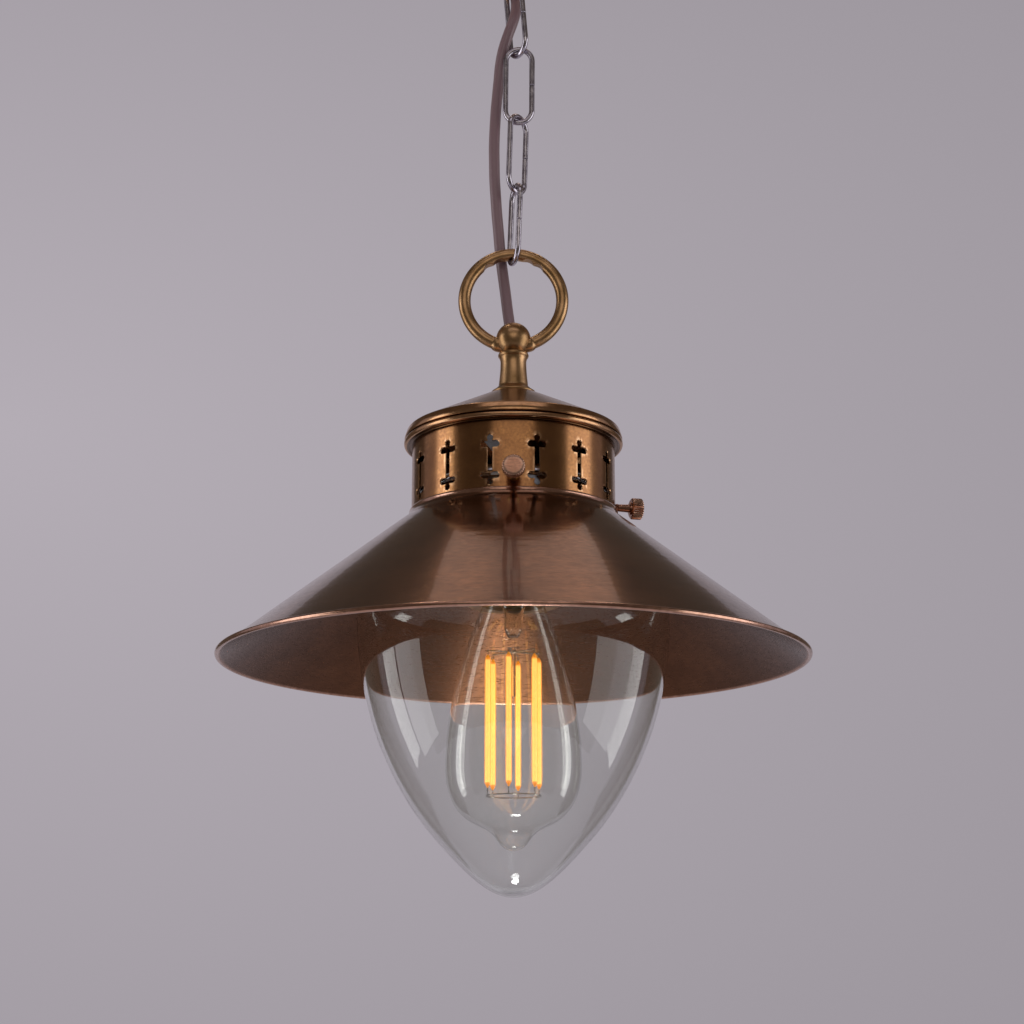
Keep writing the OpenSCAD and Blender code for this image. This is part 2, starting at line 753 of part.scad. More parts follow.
// Cutter for one double-ended cross, pointing to the front
module cross_cutter() {
    slot_end = cross_arm / 2 - 0.05;
    depth = 4 * gallery_wall;
    translate([0, -gallery_r + depth / 2, cross_z]) rotate([90, 0, 0]) {
        translate([-cross_slot / 2, -cross_h / 2 + slot_end, -depth])
            cube([cross_slot, cross_h - 2 * slot_end, 2 * depth]);
        for (s = [-1, 1]) {
            translate([0, s * (cross_h / 2 - slot_end), -depth])
                cylinder(r = slot_end, h = 2 * depth, $fn = 32);
            translate([-(cross_w - cross_arm) / 2, s * cross_pitch / 2 - cross_arm / 2, -depth])
                cube([cross_w - cross_arm, cross_arm, 2 * depth]);
            for (t = [-1, 1])
                translate([t * (cross_w - cross_arm) / 2, s * cross_pitch / 2, -depth])
                    cylinder(d = cross_arm, h = 2 * depth, $fn = 32);
        }
    }
}

module gallery() {
    bead_r = flange_bead / 2;
    color(gallery_brass) on_lantern() difference() {
        union() {
            pipe(gallery_r, gallery_in, gallery_bottom, flange_z - bead_r - gallery_bottom);
            rotate_extrude() {
                translate([gallery_in, flange_z - bead_r - gallery_wall])
                    square([flange_r - bead_r - gallery_in, 2 * gallery_wall]);
                translate([flange_r - bead_r, flange_z - bead_r]) circle(bead_r, $fn = 32);
            }
        }
        for (k = [0:crosses - 1]) at_bearing((k + 0.5) * cross_turn) cross_cutter();
        for (a = screw_turns) at_bearing(a) translate([0, 0, screw_axis]) rotate([90, 0, 0])
            translate([0, 0, gallery_in - pierce])
                cylinder(r = spigot_r + seam, h = gallery_wall + 2 * pierce, $fn = 48);
    }
}

module screw_bushes() {
    color(bare_brass) on_lantern() for (a = screw_turns) at_bearing(a)
        translate([0, 0, screw_axis]) rotate([90, 0, 0]) difference() {
            union() {
                intersection() {
                    translate([0, 0, bush_in]) cylinder(r = bush_r, h = bush_out - bush_in, $fn = 48);
                    rotate([90, 0, 0]) cylinder(r = gallery_in - seam, h = 4 * bush_r, center = true);
                }
                translate([0, 0, bush_in]) cylinder(r = spigot_r, h = bush_out - bush_in, $fn = 48);
            }
            translate([0, 0, bush_in - pierce])
                cylinder(r = screw_bore_r, h = bush_out - bush_in + 2 * pierce, $fn = 48);
        }
}

// Thumbscrew number i: shank, collar and a knurled head with a dished face
module thumb_screw(i) {
    face = gallery_r + screw_reach;
    head_r = head_d / 2;
    chamfer = 0.7;
    collar_t = 1.4;
    knurl_in = head_r - 0.25;
    body_r = knurl_in - 0.15;
    tip_bevel = 0.5;
    dish_r = body_r - 1.8;
    dish = 0.5;
    color(gallery_brass) on_lantern() at_bearing(screw_turns[i - 1])
        translate([0, 0, screw_axis]) rotate([90, 0, 0]) {
            rotate_extrude() polygon([
                [0, screw_tip], [screw_r - tip_bevel, screw_tip], [screw_r, screw_tip + tip_bevel],
                [screw_r, face - head_t - collar_t], [screw_r + 0.9, face - head_t - collar_t],
                [screw_r + 1.2, face - head_t], [body_r - chamfer, face - head_t],
                [body_r, face - head_t + chamfer], [body_r, face - chamfer],
                [body_r - chamfer, face], [dish_r + 0.4, face], [dish_r, face - dish],
                [0, face - dish]
            ]);
            translate([0, 0, face - head_t + chamfer]) linear_extrude(head_t - 2 * chamfer)
                polygon([for (k = [0:2 * knurls - 1])
                    let (r = k % 2 == 0 ? head_r : knurl_in, a = 180 * k / knurls) [r * cos(a), r * sin(a)]]);
        }
}

// ---- Shade ----

module shade() {
    tilt = 270 - shade_slope;
    outer = concat(
        [[shade_r - rim_bead / 2, rim_bead / 2 * tan(shade_slope)]],
        arc(fillet_r, fillet_z, neck_fillet, tilt, 180),
        [[shade_neck_r - neck_bevel, neck_top]]
    );
    inner = concat(
        [[shade_neck_in, neck_top]],
        arc(fillet_r, fillet_z, neck_fillet + shade_wall, 180, tilt),
        [[shade_r - rim_bead / 2 - shade_wall * sin(shade_slope),
            rim_bead / 2 * tan(shade_slope) - shade_wall * cos(shade_slope)]]
    );
    color(shade_copper) on_lantern() rotate_extrude() {
        polygon(concat(outer, inner));
        translate([shade_r - rim_bead / 2, rim_bead / 2]) circle(d = rim_bead, $fn = 32);
    }
}

// Ring nut inside the foot of the gallery, whose flange carries the shade
module shade_ring() {
    color(gallery_brass) on_lantern() rotate_extrude() polygon([
        [ring_nut_in, ring_nut_z], [ring_nut_r, ring_nut_z], [ring_nut_r, ring_nut_z + ring_nut_t],
        [gallery_in - thread_slack, ring_nut_z + ring_nut_t],
        [gallery_in - thread_slack, gallery_bottom + ring_nut_h], [ring_nut_in, gallery_bottom + ring_nut_h]
    ]);
}

// ---- Glass ----

module acorn_glass() {
    turn = [0.491 * glass_r, -0.754 * glass_drop];
    along = [cos(glass_flank), sin(glass_flank)];
    outline = concat(
        curve([0, -glass_drop], [12, -glass_drop], turn - 21 * along, turn, 14),
        rest(curve(turn, turn + 24 * along, [glass_r, -0.255 * glass_drop], [glass_r, glass_belly_z], 20)),
        rest(curve([glass_r, glass_belly_z], [glass_r, glass_belly_z + 22],
            [glass_neck_r, glass_neck_z - 15], [glass_neck_r, glass_neck_z], 16)),
        [[glass_neck_r, glass_seat], [glass_neck_r, glass_seat + 0.8 * glass_lip_h]]
    );
    lip_r = glass_lip_h / 2;
    color(clear_glass) on_lantern() rotate_extrude() {
        polygon(sheet(outline, glass_wall));
        translate([glass_neck_r - glass_wall, glass_seat])
            square([glass_lip_r - lip_r - glass_neck_r + glass_wall, glass_lip_h]);
        translate([glass_lip_r - lip_r, glass_seat + lip_r]) circle(lip_r, $fn = 32);
    }
}

// ---- Lampholder ----

module holder_cap() {
    skirt_r = holder_r + holder_wall + thread_slack;
    dome_z = holder_cap_z + cap_skirt_h + 0.5;
    outline = concat(
        [[skirt_r, holder_cap_z], [skirt_r, dome_z - 0.5]],
        curve([skirt_r, dome_z], [skirt_r, dome_z + 4.5], [hub_r + 5, dome_z + 5],
            [hub_r, hub_top - 2 * hub_h / 3], 10)
    );
    color(old_brass) on_lantern() rotate_extrude() {
        polygon(sheet(outline, holder_wall));
        translate([thread_r, hub_top - hub_h]) square([hub_r - thread_r, hub_h]);
    }
}

module holder_body() {
    color(old_brass) on_lantern() pipe(holder_r, holder_r - holder_wall, holder_mouth + 2, holder_body_h);
}

module holder_ring() {
    lip_in = bulb_neck_r + 3;
    lip_t = 1.6;
    ring_h = 7;
    grip = holder_r + hole_slack;
    edge = grip + 2;
    bevel = 0.6;
    color(old_brass) on_lantern() rotate_extrude() polygon([
        [lip_in, holder_mouth], [edge - bevel, holder_mouth], [edge, holder_mouth + bevel],
        [edge, holder_mouth + ring_h - bevel], [edge - bevel, holder_mouth + ring_h],
        [grip, holder_mouth + ring_h], [grip, holder_mouth + lip_t], [lip_in, holder_mouth + lip_t]
    ]);
}

module holder_insert() {
    plate_z = insert_top - insert_plate;
    color(porcelain) on_lantern() difference() {
        translate([0, 0, insert_bottom])
            cylinder(r = holder_r - holder_wall - hole_slack, h = insert_top - insert_bottom);
        translate([0, 0, insert_bottom - pierce])
            cylinder(r = shell_in + shell_t + seam, h = plate_z - insert_bottom + pierce);
        for (i = [0:2]) rotate([0, 0, 120 * i]) translate([insert_hole_ring, 0, plate_z - pierce])
            cylinder(r = core_r + 0.3, h = insert_plate + 2 * pierce, $fn = 32);
    }
}

module holder_shell() {
    color(bare_brass) on_lantern() pipe(shell_in + shell_t, shell_in, shell_bottom, shell_h);
}

module holder_tongue() {
    top = insert_top - insert_plate;
    low = cap_top + insulator_h + contact_h + tongue_gap;
    w = 5;
    t = 0.5;
    tip = 4;
    foot = 6;
    color(bare_brass) on_lantern() {
        translate([-tip, -w / 2, low]) cube([2 * tip, w, t]);
        translate([tip - t, -w / 2, low]) cube([t, w, top - low]);
        translate([tip - t, -w / 2, top - t]) cube([foot, w, t]);
    }
}

// Cores from the end of the flex to the terminals on the insert
module holder_cores() {
    start_z = flex_end_z - core_gap;
    bend = 3;
    color(core_brown) on_lantern() for (i = [0:2]) {
        turn = 120 * i;
        from = [core_circle * cos(turn), core_circle * sin(turn), start_z];
        over = [insert_hole_ring * cos(turn), insert_hole_ring * sin(turn), insert_top + core_r];
        path = concat(curve(from, from - [0, 0, bend], over + [0, 0, bend], over, 8),
            [over - [0, 0, core_r + insert_plate / 2]]);
        swept(path, core_r, 8, 0, len(path) - 1, [sin(turn), -cos(turn), 0]);
    }
}

// ---- Bulb ----

module bulb_glass() {
    tip = [0.275 * bulb_r, 6.4 - bulb_drop];
    flank = [0.69 * bulb_r, 14.4 - bulb_drop];
    outline = concat(
        curve([0, -bulb_drop], tip - [0.13 * bulb_r, 6.4], tip - [2.2, 3.2], tip, 8),
        rest(curve(tip, tip + [2.6, 3.5], flank - [5, 3.6], flank, 10)),
        rest(curve(flank, flank + [7, 5.1], [bulb_r, bulb_belly_z - 10], [bulb_r, bulb_belly_z], 12)),
        curve([bulb_r, bulb_belly_z + 1], [bulb_r, bulb_belly_z + 30], [bulb_neck_r + 8, cap_z - 17],
            [bulb_neck_r, cap_z], 16)
    );
    color(clear_glass) on_lantern() rotate_extrude() polygon(sheet(outline, bulb_wall));
}

module bulb_cap() {
    turns = 5;
    pitch = 3.6;
    first = cap_z + 3.4;
    color(steel_grey) on_lantern() rotate_extrude() {
        difference() {
            union() {
                translate([cap_r - 1.6, cap_z]) square([0.9, cap_h]);
                translate([cap_r - 1.6, cap_z]) square([1.3, 2.6]);
                for (k = [0:turns - 1]) translate([cap_r - 1, first + k * pitch]) circle(1, $fn = 24);
            }
            translate([cap_r - 3, cap_z - pierce]) square([1.4, cap_h + 2 * pierce]);
        }
    }
}

module bulb_insulator() {
    top_r = 6;
    color("black") on_lantern() rotate_extrude() polygon([
        [0, cap_top - 1.5], [cap_r - 1.6, cap_top - 1.5], [cap_r - 1.6, cap_top],
        [top_r, cap_top + insulator_h], [0, cap_top + insulator_h]
    ]);
}

module bulb_contact() {
    color(steel_grey) on_lantern() translate([0, 0, cap_top + insulator_h])
        cylinder(r1 = 4.8, r2 = 4, h = contact_h);
}

// Flared glass tube, its pinch and the thin rod below it
module bulb_stem() {
    flare_r = bulb_neck_r - bulb_wall - 0.3;
    press_z = stick_top + 4;
    press = cap_r * [0.44, 0.24, 0.41];
    flare_wall = bulb_wall + 0.1;
    flare_h = cap_r * 0.61;
    pinch = press.x / 2;
    tube = cap_r * 0.34;
    tube_z = press_z + 0.92 * press.z;
    tube_rise = cap_r * 0.34;
    rod_end = -15.6;
    color(clear_glass) on_lantern() {
        rotate_extrude() polygon(sheet(concat(
            curve([pinch, tube_z], [pinch, tube_z + tube_rise / 2], [tube, tube_z + tube_rise / 2],
                [tube, tube_z + tube_rise], 8),
            rest(curve([tube, tube_z + tube_rise], [tube, cap_z - flare_h / 2],
                [1.14 * tube, cap_z - 0.2 * flare_h], [flare_r, cap_z - 1], 10))
        ), flare_wall));
        translate([-pinch, -press.y / 2, press_z]) cube(press);
        translate([0, 0, rod_end]) cylinder(r = rod_r, h = press_z - rod_end, $fn = 32);
    }
}

module bulb_filaments() {
    color("orange") on_lantern() for (i = [0:sticks - 1])
        rotate([0, 0, stick_turn + 360 * i / sticks]) translate([stick_ring, 0, stick_bottom])
            cylinder(d = stick_d, h = stick_len, $fn = 32);
}

// Wires that carry the sticks: spokes from the stem, hooks, and the ring that joins the lower ends
module bulb_wires() {
    spoke_z = stick_top + 2;
    hook_r = wire_r - 0.07;
    hoop_wire_r = 0.6;
    hoop_r = rod_r + hoop_wire_r + seam;
    color(steel_grey) on_lantern() {
        for (i = [0:sticks - 1]) rotate([0, 0, stick_turn + 360 * i / sticks]) {
            translate([hoop_r, 0, spoke_z]) rotate([0, 90, 0])
                cylinder(r = wire_r, h = stick_ring - hoop_r + wire_r, $fn = 16);
            translate([stick_ring, 0, stick_top]) cylinder(r = hook_r, h = 2, $fn = 16);
            translate([stick_ring, 0, bottom_ring_z])
                cylinder(r = hook_r, h = stick_bottom - bottom_ring_z, $fn = 16);
        }
        translate([0, 0, bottom_ring_z])
            rotate_extrude() translate([stick_ring, 0]) circle(wire_r, $fn = 16);
        translate([0, 0, spoke_z]) rotate_extrude() translate([hoop_r, 0]) circle(hoop_wire_r, $fn = 16);
    }
}

module bulb_driver() {
    board = [14, 1.6, 17];
    color("darkgreen") on_lantern() {
        translate([-board.x / 2, -board.y / 2, cap_z + 2]) cube(board);
        translate([-1, board.y / 2, cap_z + 8]) rotate([-90, 0, 0])
            cylinder(r = 4, h = 6, $fn = 32);
    }
}

ceiling_bracket();
bracket_nuts();
ceiling_tube();
ceiling_cup();
collar_loop();
cord_grip();
grip_screw();
terminal_block();
terminal_sleeves();
terminal_screws();
ceiling_cores();
flex_top();
flex_part(1);  // flex_1
flex_part(2);  // flex_2
flex_part(3);  // flex_3
flex_part(4);  // flex_4
flex_part(5);  // flex_5
flex_stem();
link(1);  // link_1
link(2);  // link_2
link(3);  // link_3
link(4);  // link_4
hanging_ring();
stem_tube();
lid();
lid_nut();
bridge();
bridge_nut();
gallery();
screw_bushes();
thumb_screw(1);  // thumb_screw_1
thumb_screw(2);  // thumb_screw_2
thumb_screw(3);  // thumb_screw_3
shade();
shade_ring();
acorn_glass();
holder_cap();
holder_body();
holder_ring();
holder_insert();
holder_shell();
holder_tongue();
holder_cores();
bulb_glass();
bulb_cap();
bulb_insulator();
bulb_contact();
bulb_stem();
bulb_filaments();
bulb_wires();
bulb_driver();
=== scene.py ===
"""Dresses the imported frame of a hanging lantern: a spun shade and a clear acorn glass under a
pierced gallery, hung by a cast ring from a short chain, with its flex beside it."""

import math

import bmesh
import bpy
from bpy.props import FloatProperty, FloatVectorProperty, IntProperty, PointerProperty
from mathutils import Matrix, Vector
from mathutils.geometry import delaunay_2d_cdt


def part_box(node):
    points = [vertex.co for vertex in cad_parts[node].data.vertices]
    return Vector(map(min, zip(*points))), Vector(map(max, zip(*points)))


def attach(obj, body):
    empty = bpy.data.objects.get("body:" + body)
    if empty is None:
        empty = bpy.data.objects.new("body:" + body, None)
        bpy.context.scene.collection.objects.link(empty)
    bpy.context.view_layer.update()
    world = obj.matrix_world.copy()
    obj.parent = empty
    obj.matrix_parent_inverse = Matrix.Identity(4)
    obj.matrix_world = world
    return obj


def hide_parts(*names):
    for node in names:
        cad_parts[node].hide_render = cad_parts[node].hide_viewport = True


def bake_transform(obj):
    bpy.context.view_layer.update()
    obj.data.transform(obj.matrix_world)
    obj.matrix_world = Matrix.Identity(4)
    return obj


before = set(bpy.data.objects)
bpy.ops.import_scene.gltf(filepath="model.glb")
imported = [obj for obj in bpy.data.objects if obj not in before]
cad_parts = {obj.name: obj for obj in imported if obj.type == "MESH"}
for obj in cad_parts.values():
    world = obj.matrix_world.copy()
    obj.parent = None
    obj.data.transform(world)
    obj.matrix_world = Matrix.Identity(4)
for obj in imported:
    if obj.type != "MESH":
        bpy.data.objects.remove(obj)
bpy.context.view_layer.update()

bl_info = {
    "name": "Hanging lantern",
    "version": (1, 0, 0),
    "blender": (4, 5, 0),
    "location": "3D View > Sidebar > Lantern",
    "description": "Builds the shade, glass, gallery, chain, flex and studio of a hanging lantern",
    "category": "Add Mesh",
}

MM = 0.001
# The finishes by their plain names, which the studio operator fills
FINISHES = {}


def mm(value):
    """A length in metres as millimetres"""
    return value / MM


# Plane of the shade's rim. Heights of the lantern's pieces are millimetres above it.
RIM_Z = mm(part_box("shade")[0][2])


def linear(colour):
    """Turns an sRGB hex colour into the linear colour that Blender works with."""
    levels = [int(colour[i:i + 2], 16) / 255 for i in (1, 3, 5)]
    return [c / 12.92 if c <= 0.04045 else ((c + 0.055) / 1.055) ** 2.4 for c in levels] + [1.0]


def paler(colour):
    """The linear colour, a quarter brighter"""
    return [min(1.0, 1.25 * c) for c in colour[:3]] + [1.0]


# ---- Sizes, finishes and studio that a user would change ----


def length(name, description, default):
    return FloatProperty(name=name, description=description, default=default * MM, unit="LENGTH",
                         min=0.0, precision=4)


def tone(name, description, default):
    return FloatVectorProperty(name=name, description=description, default=linear(default), size=4,
                               subtype="COLOR", min=0.0, max=1.0)


class LanternSizes(bpy.types.PropertyGroup):
    """Sizes of the lantern's pieces, as its frame has them"""
    shade_width: length("Shade width", "Outside diameter of the shade", 280)
    shade_height: length("Shade height", "From the shade's rim to the gallery's foot", 70.9)
    neck_rise: length("Neck rise", "How far the shade's neck goes up the gallery", 3)
    neck_fillet: length("Neck fillet", "Radius between the shade's cone and its neck", 5.25)
    sheet: length("Sheet", "Thickness of the shade, lid and cup", 1)
    rim_bead: length("Rim bead", "Diameter of the shade's rolled rim", 2.4)
    gallery_width: length("Gallery width", "Outside diameter of the pierced gallery", 98.8)
    gallery_height: length("Gallery height", "From its foot to its flange", 38.3)
    gallery_sheet: length("Gallery sheet", "Thickness of the gallery's sheet", 0.9)
    crosses: IntProperty(name="Crosses", description="Number of crosses cut in the gallery",
                         default=14, min=4, max=24)
    lid_height: length("Lid height", "From the gallery's flange to the foot of the stem", 24.6)
    glass_width: length("Glass width", "Widest diameter of the acorn glass", 149)
    glass_depth: length("Glass depth", "Depth of the glass below the shade's rim", 108.3)
    glass_wall: length("Glass wall", "Thickness of the acorn glass", 2)
    bulb_width: length("Bulb width", "Widest diameter of the bulb", 64)
    bulb_depth: length("Bulb depth", "Depth of the bulb below the shade's rim", 86.8)
    sticks: IntProperty(name="Filaments", description="Number of filament sticks", default=6,
                        min=2, max=12)
    ring_radius: length("Ring radius", "Radius of the hanging ring, to the middle of its wire", 24.5)
    ring_wire: length("Ring wire", "Thickness of the hanging ring", 6.2)
    link_length: length("Link length", "Outside length of a link", 44.5)
    link_width: length("Link width", "Outside width of a link", 16.4)
    link_wire: length("Link wire", "Wire diameter of a link", 2.8)
    flex_width: length("Flex width", "Diameter of the braided flex", 5.6)
    knurls: IntProperty(name="Knurls", description="Ridges around a thumbscrew's head", default=28,
                        min=12, max=90)


class LanternFinishes(bpy.types.PropertyGroup):
    """Colours of the lantern's finishes"""
    copper: tone("Toned copper", "Spun copper of the shade under its brown lacquer", "#926548")
    copper_dark: tone("Dark copper", "Where the toning lies thickest", "#603f2d")
    # Pale copper of worn edges; it is also painted on the shade's rim and neck as their highlight
    copper_worn_and_lit: tone("Worn copper", "Copper on edges that are handled", "#c89a84")
    brass: tone("Aged brass", "Cast brass of the ring and stem", "#cba278")
    brass_dark: tone("Dark brass", "Brass in the hollows", "#91704a")
    gallery: tone("Toned brass sheet", "Pierced sheet of the gallery", "#a8794f")
    pewter: tone("Antique nickel", "Plated steel of the chain", "#d8d2dc")
    flex: tone("Flex", "Braid of the flex", "#6d5257")
    glow: tone("Glow", "Light of the filament sticks", "#ffe584")


class LanternStudio(bpy.types.PropertyGroup):
    """Camera, backdrop and lamps"""
    # The wall is painted with a pool of light, brightest at the left
    backdrop: tone("Backdrop", "Painted wall behind the lantern, where it is brightest", "#b4adb5")
    camera_distance: FloatProperty(name="Camera distance", description="From the lantern's axis",
                                   default=0.8116, unit="LENGTH")
    camera_drop: FloatProperty(name="Camera height", description="Below the shade's rim",
                               default=0.1364, unit="LENGTH")
    camera_tilt: FloatProperty(name="Camera tilt", description="How far the camera looks up",
                               default=math.radians(14.56), unit="ROTATION")
    lens: FloatProperty(name="Lens", description="Focal length", default=60.8,
                        subtype="DISTANCE_CAMERA")
    lamp_level: FloatProperty(name="Lamp level", description="Brightness of all the lamps together",
                              default=1.0, min=0.0)


# ---- Outlines, in millimetres from the lantern's axis and above a plane ----


def arc(x, y, r, start, end, n=8):
    """Points on an arc about x, y"""
    turns = [math.radians(start + (end - start) * i / n) for i in range(n + 1)]
    return [(x + r * math.cos(a), y + r * math.sin(a)) for a in turns]


def curve(a, b, c, d, n=12):
    """Points on a cubic curve from a to d, drawn towards b and c"""
    points = []
    for i in range(n + 1):
        t = i / n
        u = 1 - t
        weights = (u * u * u, 3 * u * u * t, 3 * u * t * t, t * t * t)
        points.append(tuple(sum(w * p[k] for w, p in zip(weights, (a, b, c, d))) for k in (0, 1)))
    return points


def shifted(outline, d):
    """The outline moved sideways by d, to the left of its direction"""
    moved = []
    for i, (x, y) in enumerate(outline):
        ahead = outline[min(i + 1, len(outline) - 1)]
        behind = outline[max(i - 1, 0)]
        dx, dy = ahead[0] - behind[0], ahead[1] - behind[1]
        size = math.hypot(dx, dy)
        moved.append((max(x - d * dy / size, 0.0), y + d * dx / size))
    return moved


def sheet(outline, d):
    """Closed outline of a sheet whose other face is a distance d to the left"""
    return list(outline) + shifted(outline, d)[::-1]


def finer(outline, step):
    """The outline with points added so that none lie further apart than step"""
    points = [outline[0]]
    for a, b in zip(outline, outline[1:]):
        n = max(1, math.ceil(math.dist(a, b) / step))
        points += [(a[0] + (b[0] - a[0]) * i / n, a[1] + (b[1] - a[1]) * i / n) for i in range(1, n + 1)]
    return points


# ---- Forms: lists of points and faces in millimetres ----


class Form:
    """A mesh that is being made, in millimetres, with how worn each point is, and how pale or dark it is
    painted there as light and shade
    """

    def __init__(self):
        self.points, self.faces, self.wear_and_light = [], [], []

    def add(self, points, faces, wear_and_light=0.0):
        first = len(self.points)
        self.points += [Vector(p) for p in points]
        self.faces += [tuple(first + i for i in face) for face in faces]
        self.wear_and_light += list(wear_and_light) if isinstance(wear_and_light, (list, tuple)) else [wear_and_light] * len(points)
        return first

    def moved(self, matrix):
        self.points = [matrix @ p for p in self.points]
        return self


def rows_between(count, sides, first=0, closed=False):
    """Faces of the rows between count rings of points, each with that many sides. first is the
    number of their first point, and closed adds the row from the last ring to the first."""
    faces = []
    for i in range(count if closed else count - 1):
        a, b = first + i * sides, first + (i + 1) % count * sides
        faces += [(a + k, a + (k + 1) % sides, b + (k + 1) % sides, b + k) for k in range(sides)]
    return faces


def turned(outline, steps=192, closed=True, worn_and_lit=None, ripples=0, ripple=None):
    """A form turned about the Z axis from an outline of (radius, height).
    Its wear function gives how worn the form is at a radius and height, and how pale or dark it is painted
    there as light and shade; ripple gives the depth of the ripples there."""
    form = Form()
    rings = []
    for r, z in outline:
        wear_and_light = worn_and_lit(r, z) if worn_and_lit else 0.0
        if r < 1e-6:
            rings.append([form.add([(0, 0, z)], [], wear_and_light)])
            continue
        depth = ripple(r, z) if ripple else 0.0
        points = []
        for k in range(steps):
            a = 2 * math.pi * k / steps
            wave = abs((ripples * k / steps) % 1 * 2 - 1) if ripples else 0.0
            q = r - depth * (1 - wave)
            points.append((q * math.sin(a), -q * math.cos(a), z))
        first = form.add(points, [], wear_and_light)
        rings.append(list(range(first, first + steps)))
    pairs = list(zip(rings, rings[1:])) + ([(rings[-1], rings[0])] if closed else [])
    for low, high in pairs:
        if len(low) == 1 and len(high) == 1:
            continue
        for k in range(steps):
            n = (k + 1) % steps
            if len(low) == 1:
                form.faces.append((low[0], high[n], high[k]))
            elif len(high) == 1:
                form.faces.append((low[k], low[n], high[0]))
            else:
                form.faces.append((low[k], low[n], high[n], high[k]))
    return form


def smooth_path(route, per_gap):
    """Points on a smooth curve through the route, with per_gap steps in each gap"""
    points = []
    for i in range(len(route) - 1):
        b, c = Vector(route[i]), Vector(route[i + 1])
        a = Vector(route[i - 1]) if i else b * 2 - c
        d = Vector(route[i + 2]) if i + 2 < len(route) else c * 2 - b
        for k in range(per_gap):
            t = k / per_gap
            points.append(0.5 * (2 * b + (c - a) * t + (2 * a - 5 * b + 4 * c - d) * t * t
                                 + (3 * b - a - 3 * c + d) * t * t * t))
    return points + [Vector(route[-1])]


def rings_along(path, radii, sides):
    """Rings of points round a path, carried along it without twist, and their normals"""
    rings, normals = [], []
    heading = (path[1] - path[0]).normalized()
    side = heading.orthogonal().normalized()
    for i, p in enumerate(path):
        new = (path[min(i + 1, len(path) - 1)] - path[max(i - 1, 0)]).normalized()
        side = heading.rotation_difference(new) @ side
        side = (side - side.dot(new) * new).normalized()
        heading = new
        other = heading.cross(side)
        r = radii[i] if isinstance(radii, (list, tuple)) else radii
        spokes = [side * math.cos(2 * math.pi * k / sides) + other * math.sin(2 * math.pi * k / sides)
                  for k in range(sides)]
        rings.append([p + r * s for s in spokes])
        normals.append(spokes)
    return rings, normals


def swept(path, radii, sides=24, worn_and_lit=0.0):
    """A closed rod round a path"""
    form = Form()
    rings, _ = rings_along(path, radii, sides)
    for ring in rings:
        form.add(ring, [], worn_and_lit)
    form.faces += rows_between(len(rings), sides)
    last = (len(rings) - 1) * sides
    form.faces.append(tuple(range(sides - 1, -1, -1)))
    form.faces.append(tuple(last + k for k in range(sides)))
    return form


def smoothed(mesh, crease=35):
    """The mesh, smooth except across edges sharper than crease degrees"""
    mesh.shade_smooth()
    mesh.set_sharp_from_angle(angle=math.radians(crease))
    return mesh


def make_mesh(name, form, crease=35):
    """Turns a form into a mesh in metres, smooth except across edges sharper than crease"""
    mesh = bpy.data.meshes.new(name)
    mesh.from_pydata([p * MM for p in form.points], [], form.faces)
    mesh.validate()
    tidy = bmesh.new()
    tidy.from_mesh(mesh)
    # The attribute holds each point's wear and its painted light and shade: pale above nothing, dark below
    layer = tidy.verts.layers.float.new("wear_and_light")
    tidy.verts.ensure_lookup_table()
    for vert, wear_and_light in zip(tidy.verts, form.wear_and_light):
        vert[layer] = wear_and_light
    bmesh.ops.remove_doubles(tidy, verts=tidy.verts, dist=1e-7)
    bmesh.ops.recalc_face_normals(tidy, faces=tidy.faces)
    tidy.to_mesh(mesh)
    tidy.free()
    return smoothed(mesh, crease)


def put(name, data):
    """A new object in the scene, made of a mesh, a lamp or a camera"""
    thing = bpy.data.objects.new(name, data)
    bpy.context.scene.collection.objects.link(thing)
    return thing


def add_piece(name, shape, finish, body, slot, *hides, crease=35):
    """Puts a form or a mesh in the scene as a piece that rides on a body and stands for the nodes in
    hides"""
    mesh = shape if isinstance(shape, bpy.types.Mesh) else make_mesh(name, shape, crease)
    mesh.materials.clear()
    mesh.materials.append(FINISHES[finish])
    piece = put(name, mesh)
    if hides:
        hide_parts(*hides)
    if body:
        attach(piece, body)
    return piece


def joined(first, *others):
    """The first form, with the points and faces of the others added to it"""
    for other in others:
        first.add(other.points, other.faces, other.wear_and_light)
    return first


def carved(name, base, *steps):
    """A mesh made from the form base, with each (operation, form) joined to it or cut from it"""
    target = put(name, make_mesh(name, base))
    for operation, form in steps:
        tool = put(f"{name}_tool", make_mesh(f"{name}_tool", form))
        cut = target.modifiers.new("cut", "BOOLEAN")
        cut.operation, cut.solver, cut.object = operation, "EXACT", tool
        bpy.context.view_layer.update()
        shaped = target.evaluated_get(bpy.context.evaluated_depsgraph_get())
        result = bpy.data.meshes.new_from_object(shaped)
        target.modifiers.clear()
        target.data = result
        bpy.data.objects.remove(tool)
    mesh = target.data
    bpy.data.objects.remove(target)
    return smoothed(mesh)


def on_lantern(extra=0.0):
    """The move from the shade's rim at zero to its place, and extra millimetres above it"""
    return Matrix.Translation((0, 0, RIM_Z + extra))


# ---- Finishes ----

# Sockets of the two colours that a Mix node mixes
MIX_FROM, MIX_TO = 6, 7
# Nearly black brown of a hollow that no light reaches
HOLLOW = "#120b08"


def add(tree, kind, inputs=(), **settings):
    """Adds a node. inputs maps a socket to a value, or to the socket or node that feeds it. A node
    does so from the first of its outputs that is in use."""
    node = tree.nodes.new("ShaderNode" + kind)
    for name, value in settings.items():
        setattr(node, name, value)
    for key, value in dict(inputs).items():
        if isinstance(value, bpy.types.Node):
            value = next(output for output in value.outputs if output.enabled)
        if isinstance(value, bpy.types.NodeSocket):
            tree.links.new(value, node.inputs[key])
        else:
            node.inputs[key].default_value = value
    return node


